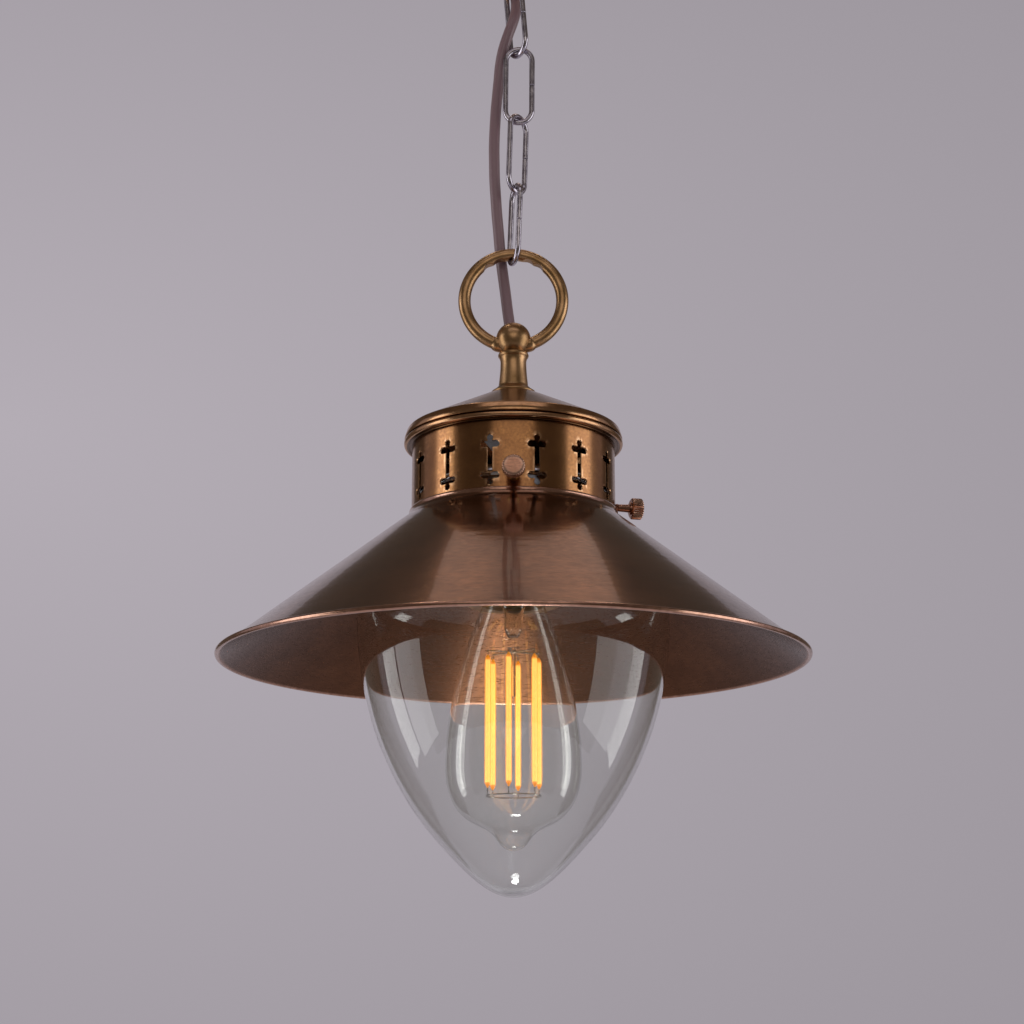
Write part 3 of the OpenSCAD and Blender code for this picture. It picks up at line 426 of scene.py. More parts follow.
def new_finish(name):
    """An empty material, its node tree and the place of each point, in the piece's own frame"""
    material = bpy.data.materials.new(name)
    material.use_nodes = True
    tree = material.node_tree
    tree.nodes.clear()
    return material, tree, add(tree, "TexCoord").outputs["Object"]


def finished(material, kind, inputs):
    """The material, with a shader of that kind as its surface"""
    shader = add(material.node_tree, kind, inputs)
    add(material.node_tree, "OutputMaterial", {"Surface": shader})
    return material


def layered(tree, colour, *coats):
    """A colour with coats over it: each is how much of it shows, from 0 to 1, and its colour"""
    for amount, coat in coats:
        colour = add(tree, "Mix", {0: amount, MIX_FROM: colour, MIX_TO: coat}, data_type="RGBA")
    return colour


def relief(tree, *patterns, under=None):
    """The normal of a surface that patterns stand out of, over the relief under them. Each is its
    pattern and its height in millimetres."""
    for pattern, height in patterns:
        below = {"Normal": under} if under else {}
        under = add(tree, "Bump", {"Height": pattern, "Strength": 1.0, "Distance": height * MM, **below})
    return under


def grain(tree, where, size, detail=4.0):
    """Noise whose spots are about size millimetres across"""
    return add(tree, "TexNoise", {"Vector": where, "Scale": 1.0 / (size * MM), "Detail": detail,
                                  "Roughness": 0.55})


def patches(tree, where, size, low=0.0, high=1.0, start=0.35, end=0.65, detail=4.0):
    """Values between low and high, in patches about size millimetres across"""
    return add(tree, "MapRange", {0: grain(tree, where, size, detail), 1: start, 2: end, 3: low, 4: high})


def spun_lines(tree, place, line, wander):
    """Noise in rings about the Z axis: line is their spacing in millimetres, wander how soon they fade"""
    flat = add(tree, "VectorMath", {0: place, 1: (1.0, 1.0, 0.0)}, operation="MULTIPLY")
    radius = add(tree, "VectorMath", {0: flat}, operation="LENGTH")
    bearing = add(tree, "SeparateXYZ", {0: add(tree, "VectorMath", {0: flat}, operation="NORMALIZE")})
    height = add(tree, "SeparateXYZ", {0: place}).outputs["Z"]
    # Rings follow both the radius and the height, so that cones and cylinders get them alike
    across, down, x, y = [
        add(tree, "Math", {0: value, 1: times}, operation="MULTIPLY")
        for value, times in ((radius, 0.8 / (line * MM)), (height, -0.6 / (line * MM)),
                             (bearing.outputs["X"], wander), (bearing.outputs["Y"], wander))]
    along = add(tree, "Math", {0: across, 1: down}, operation="ADD")
    where = add(tree, "CombineXYZ", {0: along, 1: x, 2: y})
    return add(tree, "TexNoise", {"Vector": where, "Scale": 1.0, "Detail": 3.0, "Roughness": 0.6})


def spun_metal(name, light, dark, worn_and_lit, rough=(0.16, 0.3), line=2.2, ridge=0.02, fine=0.003, wander=2.0,
               lacquer=0.0, tarnish=18.0, brush=0.35):
    """Sheet metal shaped on a lathe: rings from the tool, patches of tarnish, pale edges, which are worn
    edges and painted highlights, and nearly black painted shade under edges and in hollows, which lies
    where the value is below nothing.
    ridge and fine are the heights in millimetres of the tool's rings and of the polish lines, and
    brush is how far apart those lines are."""
    material, tree, place = new_finish(name)
    rings = spun_lines(tree, place, line, wander)
    lines = spun_lines(tree, place, brush, wander * 6)
    streaks = add(tree, "MapRange", {0: lines, 1: 0.3, 2: 0.7})
    wear_and_light = add(tree, "Attribute", attribute_name="wear_and_light").outputs["Fac"]
    # Pale above nothing: wear and painted highlights. Nearly black below nothing: painted shade.
    streaked, rubbed_and_lit, painted_shade = [
        add(tree, "Math", {0: value, 1: share}, operation="MULTIPLY")
        for value, share in ((streaks, 0.55), (wear_and_light, patches(tree, place, 3.0, 0.55)), (wear_and_light, -1.0))]
    halfway = [0.5 * (a + b) for a, b in zip(light, dark)]
    colour = layered(tree, light, (patches(tree, place, tarnish), halfway), (streaked, dark),
                     (rubbed_and_lit, worn_and_lit), (painted_shade, linear(HOLLOW)))
    ridges = relief(tree, (rings, ridge))
    return finished(material, "BsdfPrincipled", {
        "Base Color": colour, "Metallic": 1.0, "Normal": relief(tree, (lines, fine), under=ridges),
        "Roughness": add(tree, "MapRange", {0: streaks, 3: rough[0], 4: rough[1]}),
        "Coat Weight": lacquer, "Coat Roughness": 0.025, "Coat Normal": ridges})


def plain_metal(name, light, dark, rough=(0.2, 0.35), pit=0.6, depth=0.004, patch=6.0, scratch=0.0):
    """Cast, drawn or plated metal: patches of tone, fine pits and a few scratches"""
    material, tree, place = new_finish(name)
    pits = grain(tree, place, pit, detail=5.0)
    wear_and_light = add(tree, "Attribute", attribute_name="wear_and_light").outputs["Fac"]
    colour = layered(tree, light, (patches(tree, place, patch, start=0.3, end=0.7), dark),
                     (wear_and_light, paler(light)))
    stretched = add(tree, "Mapping", {"Vector": place, "Scale": (1.0, 1.0, 0.06)})
    drawn = grain(tree, stretched, 0.25, detail=2.0)
    return finished(material, "BsdfPrincipled", {
        "Base Color": colour, "Metallic": 1.0, "Normal": relief(tree, (drawn, scratch), (pits, depth)),
        "Roughness": add(tree, "MapRange", {0: pits, 1: 0.3, 2: 0.7, 3: rough[0], 4: rough[1]})})


def clear_glass(name, tint, ior, wave, wave_size):
    """Blown glass: colourless, with the slow waves of a form that was blown and not ground"""
    material, tree, place = new_finish(name)
    waves = grain(tree, place, wave_size, detail=1.0)
    dust = patches(tree, place, 0.8, 0.0, 0.02, 0.62, 0.8, detail=6.0)
    return finished(material, "BsdfPrincipled", {
        "Base Color": tint, "Roughness": dust, "IOR": ior, "Transmission Weight": 1.0,
        "Normal": relief(tree, (waves, wave))})


def moulded(name, light, dark, rough=(0.3, 0.45), pit=0.5, depth=0.01, coat=0.0, ior=1.5):
    """Moulded or fired material: two close tones, a fine skin and, where glazed, a clear coat"""
    material, tree, place = new_finish(name)
    skin = grain(tree, place, pit, detail=5.0)
    return finished(material, "BsdfPrincipled", {
        "Base Color": layered(tree, light, (patches(tree, place, 4.0), dark)), "IOR": ior,
        "Roughness": add(tree, "MapRange", {0: skin, 1: 0.35, 2: 0.65, 3: rough[0], 4: rough[1]}),
        "Normal": relief(tree, (skin, depth)), "Coat Weight": coat, "Coat Roughness": 0.05})


def braided_rayon(name, colour, strands=16, lay=0.62):
    """Rayon braid over a round flex. The real strands are 0.55 mm wide; they are drawn twice as wide,
    so that the diamonds of the braid still show. lay is how steeply they lie."""
    material, tree, place = new_finish(name)
    uv = add(tree, "SeparateXYZ", {0: add(tree, "UVMap")})
    around = add(tree, "Math", {0: uv.outputs["X"], 1: strands}, operation="MULTIPLY")
    along = add(tree, "Math", {0: uv.outputs["Y"], 1: strands * lay}, operation="MULTIPLY")
    left, right = [add(tree, "Math", {0: around, 1: along}, operation=way) for way in ("ADD", "SUBTRACT")]
    hills = []
    for lean in (left, right):
        phase = add(tree, "Math", {0: lean, 1: math.pi}, operation="MULTIPLY")
        wave = add(tree, "Math", {0: phase}, operation="SINE")
        hills.append(add(tree, "Math", {0: wave}, operation="ABSOLUTE"))
    over = add(tree, "TexChecker", {"Vector": add(tree, "CombineXYZ", {0: left, 1: right, 2: 0.25}),
                                    "Scale": 1.0}).outputs["Fac"]
    height = add(tree, "Mix", {0: over, 2: hills[0], 3: hills[1]}, data_type="FLOAT")
    fibre = grain(tree, place, 0.3, detail=3.0)
    silk = layered(tree, colour, (add(tree, "MapRange", {0: fibre, 1: 0.35, 2: 0.65}), paler(colour)))
    # Painted shade: the braid is darker in the valleys between its strands
    deep = [0.55 * c for c in colour[:3]] + [1.0]
    return finished(material, "BsdfPrincipled", {
        "Base Color": layered(tree, deep, (add(tree, "MapRange", {0: height, 2: 0.8}), silk)),
        "Roughness": 0.42, "IOR": 1.53, "Normal": relief(tree, (height, 0.05), (fibre, 0.01)),
        "Sheen Weight": 0.25, "Sheen Roughness": 0.4, "Coat Weight": 0.4, "Coat Roughness": 0.22})


def glowing(name, colour, strength, alpha=1.0):
    """A lit surface, a little uneven along its length"""
    material, tree, place = new_finish(name)
    level = patches(tree, place, 1.6, strength * 0.9, strength * 1.1, detail=2.0)
    return finished(material, "BsdfPrincipled", {
        "Base Color": colour, "Roughness": 0.4, "Alpha": alpha, "Emission Color": colour,
        "Emission Strength": level})


def shown_rays(tree):
    """1 for what the camera sees, by itself, in metal or through glass, and 0 for light on things"""
    ray = add(tree, "LightPath")
    seen = ray.outputs["Is Camera Ray"]
    for kind in ("Is Glossy Ray", "Is Transmission Ray"):
        seen = add(tree, "Math", {0: seen, 1: ray.outputs[kind]}, operation="MAXIMUM")
    return seen


def studio_paint(name, colour, lit, light_falloff=0.0):
    """Matt paint that shows its own colour to the camera and in metal and glass, and takes light and shadow
    for everything else. lit is how much of it shows its own colour. A painted pool of light lies on it: it
    is brightest at the left and painted darker, by the given amount, 2.8 metres from there."""
    material, tree, place = new_finish(name)
    # Painted light: brightest at a place on the left, and darker away from it
    away = add(tree, "VectorMath", {0: place, 1: (-1.0, 0.0, 0.45)}, operation="SUBTRACT")
    away = add(tree, "VectorMath", {0: away, 1: (1.0, 0.0, 1.6)}, operation="MULTIPLY")
    away = add(tree, "VectorMath", {0: away}, operation="LENGTH")
    level = add(tree, "MapRange", {0: away, 2: 2.8, 3: 1.0, 4: 1.0 - light_falloff})
    amount = add(tree, "Math", {0: shown_rays(tree), 1: lit}, operation="MULTIPLY")
    matt = add(tree, "BsdfDiffuse", {"Color": colour})
    shown = add(tree, "Emission", {"Color": colour, "Strength": level})
    return finished(material, "MixShader", {0: amount, 1: matt, 2: shown})


def make_finishes(tones):
    """All the finishes, by a plain name"""
    finishes = {}

    # Spun copper, toned brown and lacquered: a dark mirror with rings from the spinning tool
    finishes["copper"] = spun_metal("lacquered_spun_copper", tones.copper, tones.copper_dark,
                                    tones.copper_worn_and_lit, rough=(0.14, 0.24), line=3.4, ridge=0.045,
                                    fine=0.003, wander=5.0, lacquer=0.5, brush=0.9)
    # Its inside, left without lacquer and painted darker, a painted shade inside the lampshade
    finishes["copper_inside"] = spun_metal("shaded_copper_inside", linear("#6b4630"), linear("#4a2f20"),
                                           tones.copper_worn_and_lit, rough=(0.2, 0.3), line=1.8, ridge=0.008,
                                           fine=0.003, wander=4.0, brush=1.0)
    # The same copper on small turned parts, brushed after toning
    finishes["turned_copper"] = spun_metal("turned_copper", linear("#b98a74"), linear("#7d5b4b"),
                                           linear("#dcb4a0"), rough=(0.18, 0.3), line=0.8, ridge=0.002,
                                           fine=0.001, wander=3.0, tarnish=5.0)
    # Brass sheet, rolled, pierced and toned: brushed round, so highlights stand as upright bands
    # Its pale colour is painted on the lid's band, the flange's bead and the crosses' chamfers as their
    # highlights, and lies on the cup's worn rim
    finishes["gallery"] = spun_metal("toned_brass_sheet", tones.gallery, linear("#7d563c"),
                                     linear("#dcb088"), rough=(0.15, 0.24), line=1.6, ridge=0.003,
                                     fine=0.001, wander=6.0, tarnish=9.0, brush=0.7)
    # Cast brass, turned and left to age: soft highlights, darker in patches
    finishes["brass"] = plain_metal("aged_cast_brass", tones.brass, tones.brass_dark, rough=(0.28, 0.38),
                                    pit=0.7, depth=0.002, patch=9.0)
    # Turned brass that was never toned
    finishes["bare_brass"] = spun_metal("turned_brass", linear("#d8b878"), linear("#a98a4c"),
                                        linear("#f0d8a0"), rough=(0.16, 0.26), line=0.6, ridge=0.001,
                                        fine=0.001, wander=3.0, tarnish=6.0)
    # Steel wire, barrel plated with nickel and antiqued: smooth, cool, darker in patches
    finishes["pewter"] = plain_metal("antique_nickel_plate", tones.pewter, linear("#98919d"),
                                     rough=(0.18, 0.28), pit=0.9, depth=0.002, patch=5.0, scratch=0.002)
    # Zinc-plated steel: pale, faintly blue, with the spangle of the bath
    finishes["zinc"] = plain_metal("zinc_plated_steel", linear("#c4c8cc"), linear("#9aa0a8"),
                                   rough=(0.28, 0.42), pit=0.5, depth=0.004, patch=2.5)
    # Nickel-plated brass of the bulb's cap
    finishes["nickel"] = plain_metal("bright_nickel", linear("#d2cfc8"), linear("#a8a49c"),
                                     rough=(0.16, 0.26), pit=0.4, depth=0.002, patch=3.0)
    # Tin solder: dull, pitted where it cooled
    finishes["solder"] = plain_metal("tin_solder", linear("#b4b6b8"), linear("#8c8e90"),
                                     rough=(0.35, 0.5), pit=0.8, depth=0.02, patch=1.5)
    # Soda-lime glass blown in a mould, and the thin glass of the bulb
    finishes["glass"] = clear_glass("blown_soda_glass", linear("#f7f8f6"), 1.52, 0.03, 22.0)
    finishes["bulb_glass"] = clear_glass("thin_bulb_glass", linear("#fbfbf9"), 1.5, 0.02, 14.0)
    # Glazed porcelain: warm white under a clear glaze
    finishes["porcelain"] = moulded("glazed_porcelain", linear("#efece4"), linear("#e4dfd4"),
                                    rough=(0.18, 0.26), pit=0.7, depth=0.01, coat=0.4)
    # Nylon, moulded, a little waxy
    finishes["nylon"] = moulded("moulded_nylon", linear("#e8e4d8"), linear("#dcd6c6"), rough=(0.38, 0.5),
                                pit=0.25, depth=0.006, ior=1.53)
    # Silicone sleeve of a core
    finishes["sleeve"] = moulded("silicone_sleeve", linear("#8a5a3c"), linear("#74482e"),
                                 rough=(0.42, 0.55), pit=0.3, depth=0.004, ior=1.43)
    # Black glass between the cap and the contact
    finishes["vitrite"] = moulded("vitrite", linear("#17161a"), linear("#26242a"), rough=(0.08, 0.16),
                                  pit=0.9, depth=0.01, coat=0.3, ior=1.55)
    # Glass-fibre board under green varnish
    finishes["board"] = moulded("varnished_board", linear("#2f6b45"), linear("#285c3b"),
                                rough=(0.3, 0.42), pit=0.35, depth=0.01, coat=0.2)
    # Rayon braid: fine diamonds with a soft silky streak of light
    finishes["flex"] = braided_rayon("braided_rayon", list(tones.flex))
    # Rows of chips under a clear yellow silicone: the light is pale yellow with an orange skin
    finishes["glow"] = glowing("lit_filament", tones.glow, 1.05)
    finishes["glow_skin"] = glowing("phosphor_silicone", linear("#f2a234"), 0.8, alpha=0.42)
    # The metal ends of the sticks glow orange: a painted glow of the sticks' light on them
    finishes["glow_end"] = glowing("filament_end", linear("#e08a1e"), 0.75)
    return finishes


# Nodes of the frame whose shape stays, with their finish
KEPT_NODES = {
    "zinc": ("ceiling_bracket", "bracket_nuts", "grip_screw", "terminal_screws", "lid_nut", "bridge",
             "bridge_nut"),
    "bare_brass": ("ceiling_tube", "terminal_sleeves", "stem_tube", "screw_bushes", "holder_shell",
                   "holder_tongue"),
    "gallery": ("shade_ring",),
    "brass": ("holder_cap", "holder_body", "holder_ring"),
    "nylon": ("cord_grip",),
    "porcelain": ("terminal_block", "holder_insert"),
    "sleeve": ("ceiling_cores", "holder_cores"),
    "bulb_glass": ("bulb_stem",),
    "nickel": ("bulb_cap", "bulb_wires"),
    "vitrite": ("bulb_insulator",),
    "solder": ("bulb_contact",),
    "board": ("bulb_driver",),
}


# ---- Studio, in metres about the lantern's axis ----

WALL_RADIUS = 2.6
WALL_TOP = 2.0
FLOOR_Z = -1.9
# Radius between the floor and the wall
COVE = 0.5
# Dim warm cloths that only metal and glass see: over the lantern, beside the wall and in front
CLOTH_GLOW = 0.10
CLOTH_TOP = 1.2
CEILING_Z = 1.30
SIDE_CLOTH = ((1.70, 0.90), (0.98, 1.66))
SIDE_CLOTH_LOW = -1.6
FRONT_CLOTH_RADIUS = 1.95
FRONT_CLOTH_LOW = -1.7

# Soft boxes: name, place with its height above the rim, width, height, brightness of its face, where
# 1 is white, and colour
LAMPS = (
    ("left_box", (-1.485, -0.21, 0), 0.62, 1.7, 2.0, "#ffffff"),
    ("right_box", (1.46, -0.3, 0), 0.9, 1.6, 1.7, "#ffffff"),
    ("left_strip", (-1.42, 0.36, -0.1), 0.36, 1.2, 3.2, "#ffffff"),
    ("right_strip", (1.42, 0.36, -0.1), 0.36, 1.2, 3.2, "#ffffff"),
    ("top_panel", (0.045, 0.84, 1.45), 0.76, 0.96, 0.58, "#ffe6d6"),
    ("top_spot_left", (-0.39, 0.36, 1.45), 0.16, 0.16, 9.0, "#fff2e4"),
    ("top_spot_right", (0.39, 0.36, 1.45), 0.16, 0.16, 9.0, "#fff2e4"),
    ("front_top", (0, -0.85, 1.5), 1.5, 0.5, 0.8, "#fbf6ff"),
    ("low_lamp", (0.04, 0.22, -1.1), 0.17, 0.17, 20.0, "#ffffff"),
    ("front_box", (0, -1.8, 0.62), 1.5, 1.0, 0.75, "#fff6ee"),
)
ROUND_LAMPS = ("top_spot_left", "top_spot_right", "low_lamp")
# These face straight down. All others face a point just above the middle of the rim.
LEVEL_LAMPS = ("top_panel", "top_spot_left", "top_spot_right")
AIM_HEIGHT = 0.02
# The side boxes stand right behind the glass in a view from the side, and would fill it with white,
# so glass doesn't show them. Narrow strips further back, which nothing else shows, give it its
# inner highlights.
HIDDEN_FROM = {
    "left_box": ("transmission",), "right_box": ("transmission",),
    "left_strip": ("glossy", "diffuse"), "right_strip": ("glossy", "diffuse"),
}
# The bulb's own faint light on the lantern, in watts, with its radius and depth below the rim
BULB_LIGHT = 0.012
BULB_LIGHT_RADIUS = 0.02
BULB_LIGHT_DROP = 0.025
# Even light from all round, a neutral grey
WORLD_GREY = (0.55, 0.54, 0.55, 1.0)
# Where the camera stands sideways of the lantern's axis, with its right positive
CAMERA_SIDE = -0.0007


def hide_from(thing, *rays):
    """Keeps an object out of the sight of those kinds of rays"""
    for ray in rays:
        setattr(thing, f"visible_{ray}", False)


def hang_cloth(name, corners, material):
    """A flat cloth, seen by metal and glass alone"""
    mesh = bpy.data.meshes.new(name)
    mesh.from_pydata(corners, [], [tuple(range(len(corners)))])
    mesh.materials.append(material)
    cloth = put(name, mesh)
    hide_from(cloth, "camera", "diffuse", "shadow")


def upright(near, far, low):
    """Corners of a cloth that hangs from near to far, down to low"""
    return [(*near, low), (*far, low), (*far, CLOTH_TOP), (*near, CLOTH_TOP)]


def cloth_finish(name, colour):
    """Dim cloth that gives off its own even light"""
    material, _, _ = new_finish(name)
    return finished(material, "Emission", {"Color": linear(colour), "Strength": CLOTH_GLOW})


class LANTERN_OT_studio(bpy.types.Operator):
    """Makes the camera, the floor, the wall, the dim cloths and the lamps"""
    bl_idname = "lantern.studio"
    bl_label = "Studio"

    def execute(self, context):
        scene = context.scene
        studio = scene.lantern_studio
        rim = RIM_Z * MM
        lens = bpy.data.cameras.new("camera")
        lens.lens, lens.sensor_width, lens.clip_end = studio.lens, 36.0, 20.0
        scene.camera = put("camera", lens)
        scene.camera.location = (CAMERA_SIDE, -studio.camera_distance, rim - studio.camera_drop)
        scene.camera.rotation_euler = (math.pi / 2 + studio.camera_tilt, 0.0, 0.0)
        self.build_room(studio)
        self.hang_cloths()
        self.light_room(studio.lamp_level, rim)

        world = bpy.data.worlds.new("studio")
        scene.world = world
        world.use_nodes = True
        tree = world.node_tree
        tree.nodes.clear()
        shown = layered(tree, WORLD_GREY, (shown_rays(tree), studio.backdrop))
        sky = add(tree, "Background", {"Color": shown, "Strength": 1.0})
        add(tree, "OutputWorld", {"Surface": sky})
        FINISHES.update(make_finishes(scene.lantern_finishes))
        return {"FINISHED"}

    def build_room(self, studio):
        paint = studio_paint("wall_paint", studio.backdrop, 1.0, light_falloff=0.28)
        floor_paint = studio_paint("floor_paint", linear("#cfccd2"), 0.0)
        cove = arc(mm(WALL_RADIUS - COVE), mm(FLOOR_Z + COVE), mm(COVE), -90, 0, 12)
        floor = turned([(0.0, mm(FLOOR_Z))] + cove, 96, closed=False)
        wall = turned([cove[-1], (mm(WALL_RADIUS), mm(WALL_TOP))], 96, closed=False)
        for name, form, finish in (("floor", floor, floor_paint), ("wall", wall, paint)):
            mesh = make_mesh(name, form)
            mesh.materials.append(finish)
            stand = put(name, mesh)
            stand.visible_diffuse = name == "floor"
            stand.visible_shadow = False

    def hang_cloths(self):
        # One for a ceiling and two beside the wall, so that bright edges stay crisp
        cloth = cloth_finish("dim_cloth", "#ffe8d4")
        square = [(x * WALL_RADIUS, y * WALL_RADIUS, CEILING_Z)
                  for x, y in ((-1, -1), (1, -1), (1, 1), (-1, 1))]
        hang_cloth("ceiling_cloth", square, cloth)
        for side, name in ((-1, "left"), (1, "right")):
            near, far = [(side * x, y) for x, y in SIDE_CLOTH]
            hang_cloth(f"side_cloth_{name}", upright(near, far, SIDE_CLOTH_LOW), cloth)

        # Others in an arc round the camera, so that the metal's front stays deep and the glass clear
        front = cloth_finish("front_cloth", "#ffeede")
        bearings = [math.radians(a) for a in range(-80, 81, 20)]
        bend = [(FRONT_CLOTH_RADIUS * math.sin(a), -FRONT_CLOTH_RADIUS * math.cos(a)) for a in bearings]
        for i, (near, far) in enumerate(zip(bend, bend[1:])):
            hang_cloth(f"front_cloth_{i + 1}", upright(near, far, FRONT_CLOTH_LOW), front)

    def light_room(self, level, rim):
        aim = Vector((0.0, 0.0, rim + AIM_HEIGHT))
        for name, (x, y, z), width, height, radiance, colour in LAMPS:
            lamp = bpy.data.lights.new(name, "AREA")
            lamp.shape = "ELLIPSE" if name in ROUND_LAMPS else "RECTANGLE"
            lamp.size, lamp.size_y = width, height
            lamp.color = linear(colour)[:3]
            area = width * height * (math.pi / 4 if name in ROUND_LAMPS else 1.0)
            lamp.energy = radiance * level * area * math.pi
            box = put(name, lamp)
            box.location = (x, y, rim + z)
            if name not in LEVEL_LAMPS:
                box.rotation_euler = (aim - box.location).to_track_quat("-Z", "Y").to_euler()
            hide_from(box, "camera", *HIDDEN_FROM.get(name, ()))

        glow = bpy.data.lights.new("bulb_light", "POINT")
        glow.energy, glow.shadow_soft_size = BULB_LIGHT, BULB_LIGHT_RADIUS
        glow.color = linear("#ffcf8f")[:3]
        bulb = put("bulb_light", glow)
        bulb.location = (0.0, 0.0, rim - BULB_LIGHT_DROP)
        hide_from(bulb, "camera", "glossy", "transmission")


# ---- Flex ----

FLEX_ROUTE = [
    (0, 0, -37), (0, 0, -43), (0.1, 2.7, -49), (0.5, 5.9, -55), (1, 7.3, -60), (1.5, 5.8, -65),
    (1.2, 3.2, -72), (-0.2, 1.2, -79), (-2.8, 0.8, -87), (-5.4, 2.7, -95), (-6.9, 4.5, -103),
    (-7.6, 5.3, -111), (-8.4, 5.3, -120), (-9.1, 5.1, -129), (-9.6, 4.8, -139), (-9.9, 4.7, -149),
    (-9.8, 4.8, -158), (-9.6, 5.2, -167), (-9, 5.7, -177), (-8.4, 6.3, -186), (-7.6, 7, -195),
    (-6.9, 7.5, -204), (-6.1, 7.7, -212), (-5.1, 7.5, -220), (-4.1, 6.9, -228), (-3.1, 5.9, -237),
    (-2, 4.4, -246), (-1, 2.4, -254), (0, 0, -263), (0, 0, -269),
]
FLEX_CUTS = [0, 7, 12, 16, 20, 29]
FLEX_STEPS = 7
FLEX_SIDES = 24
# Height of the bend where the flex turns down into the stem
FLEX_MOUTH_Z = FLEX_ROUTE[-2][2]


def braid_tube(name, rings, normals, distance, width):
    """An open tube of braid. distance is how far along the flex each ring lies."""
    sides = FLEX_SIDES
    mesh = bpy.data.meshes.new(name)
    mesh.from_pydata([p * MM for ring in rings for p in ring], [], rows_between(len(rings), sides))
    uv = mesh.uv_layers.new(name="braid")
    around = math.pi * width
    for face in mesh.polygons:
        ring, k = divmod(face.index, sides)
        corners = [(k, ring), (k + 1, ring), (k + 1, ring + 1), (k, ring + 1)]
        for loop, (u, v) in zip(face.loop_indices, corners):
            uv.data[loop].uv = (u / sides, distance[v] / around)
    mesh.shade_smooth()
    mesh.normals_split_custom_set_from_vertices([n for ring in normals for n in ring])
    return mesh


class LANTERN_OT_flex(bpy.types.Operator):
    """Lays the braided flex from the ceiling, beside the chain and into the stem"""
    bl_idname = "lantern.flex"
    bl_label = "Flex"

    def execute(self, context):
        width = mm(context.scene.lantern_sizes.flex_width)
        path = smooth_path(FLEX_ROUTE, FLEX_STEPS)
        rings, normals = rings_along(path, width / 2, FLEX_SIDES)
        distance = [0.0]
        for a, b in zip(path, path[1:]):
            distance.append(distance[-1] + (b - a).length)
        cuts = [cut * FLEX_STEPS for cut in FLEX_CUTS]
        for i, (a, b) in enumerate(zip(cuts, cuts[1:])):
            name = f"braid_{i + 1}"
            mesh = braid_tube(name, rings[a:b + 1], normals[a:b + 1], distance[a:b + 1], width)
            piece = add_piece(name, mesh, "flex", None, "braided_flex", f"flex_{i + 1}")
            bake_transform(piece)
        # The straight lengths inside the ceiling tube and the stem
        lowest = mm(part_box("flex_stem")[0][2])
        highest = mm(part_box("flex_top")[1][2])
        for name, body, top, low in (("braid_top", "ceiling", highest, path[0].z),
                                     ("braid_stem", "lantern", path[-1].z, lowest)):
            line = [Vector((0, 0, top + (low - top) * k / 24)) for k in range(25)]
            ends, outward = rings_along(line, width / 2, FLEX_SIDES)
            mesh = braid_tube(name, ends, outward, [abs(p.z - top) for p in line], width)
            add_piece(name, mesh, "flex", body, "braided_flex", name.replace("braid", "flex"))
        return {"FINISHED"}


# ---- Chain ----

# Where each link turns, how far it is turned about the chain and leans, and how far it hangs below
# the wire that carries it
LINK_JOINTS = [(0.0, -60.8), (2.989, -98.783), (2.652, -137.481), (1.436, -176.162)]
LINK_YAWS = [-56, 0, 54, -72]
LINK_LEANS = [4.5, -0.5, -1.8, -2.1]
LINK_HANGS = [3.6, 3.0, 3.0, 3.0]
# Gap of the butt joint in a link's wire, and the bevel on the wire's ends
BUTT_GAP = 0.3
BUTT_BEVEL = 0.22


class LANTERN_OT_chain(bpy.types.Operator):
    """Bends the four links of the chain, each with the butt joint of its wire"""
    bl_idname = "lantern.chain"
    bl_label = "Chain"

    def execute(self, context):
        sizes = context.scene.lantern_sizes
        long, wide, wire = mm(sizes.link_length), mm(sizes.link_width), mm(sizes.link_wire)
        bend = (wide - wire) / 2
        reach = (long - wide) / 2
        bar = [(bend, BUTT_GAP / 2), (bend, BUTT_GAP / 2 + BUTT_BEVEL), (bend, reach * 0.5)]
        top = arc(0, reach, bend, 0, 180, 40)
        back = [(-bend, reach * s) for s in (0.6, 0.2, -0.2, -0.6)]
        low = arc(0, -reach, bend, 180, 360, 40)
        path = bar + top + back + low + [(x, -z) for x, z in bar[::-1]]
        line = [Vector((x, 0.0, z)) for x, z in path]
        end = wire / 2 - BUTT_BEVEL
        radii = [end] + [wire / 2] * (len(line) - 2) + [end]
        links = zip(LINK_JOINTS, LINK_YAWS, LINK_LEANS, LINK_HANGS)
        for i, ((x, z), yaw, lean, hang) in enumerate(links, 1):
            place = (Matrix.Translation((x, 0, z)) @ Matrix.Rotation(math.radians(-lean), 4, "Y")
                     @ Matrix.Rotation(math.radians(yaw), 4, "Z")
                     @ Matrix.Translation((0, 0, hang - (long - wire) / 2)))
            add_piece(f"chain_link_{i}", swept(line, radii).moved(place), "pewter", f"link_{i}",
                      "pewter_steel", f"link_{i}")
        return {"FINISHED"}


# ---- Ceiling fitting, with heights below the ceiling ----

# Underside of the cup, radius of its flat middle, and the width and depth of its round shoulder
CUP_LOW = -35.0
CUP_FLAT = 16
CUP_SHOULDER = (32, 28)
# The loop under the collar: half its width, its wire, the height of its bend and its turn
LOOP_HALF = 9.0
LOOP_WIRE = 4.0
LOOP_BEND_Z = -51.8
LOOP_YAW = 34
# Underside of the collar, with the ends of the loop's wire in it
COLLAR_LOW = -42.0
LOOP_ENDS_Z = -40.2


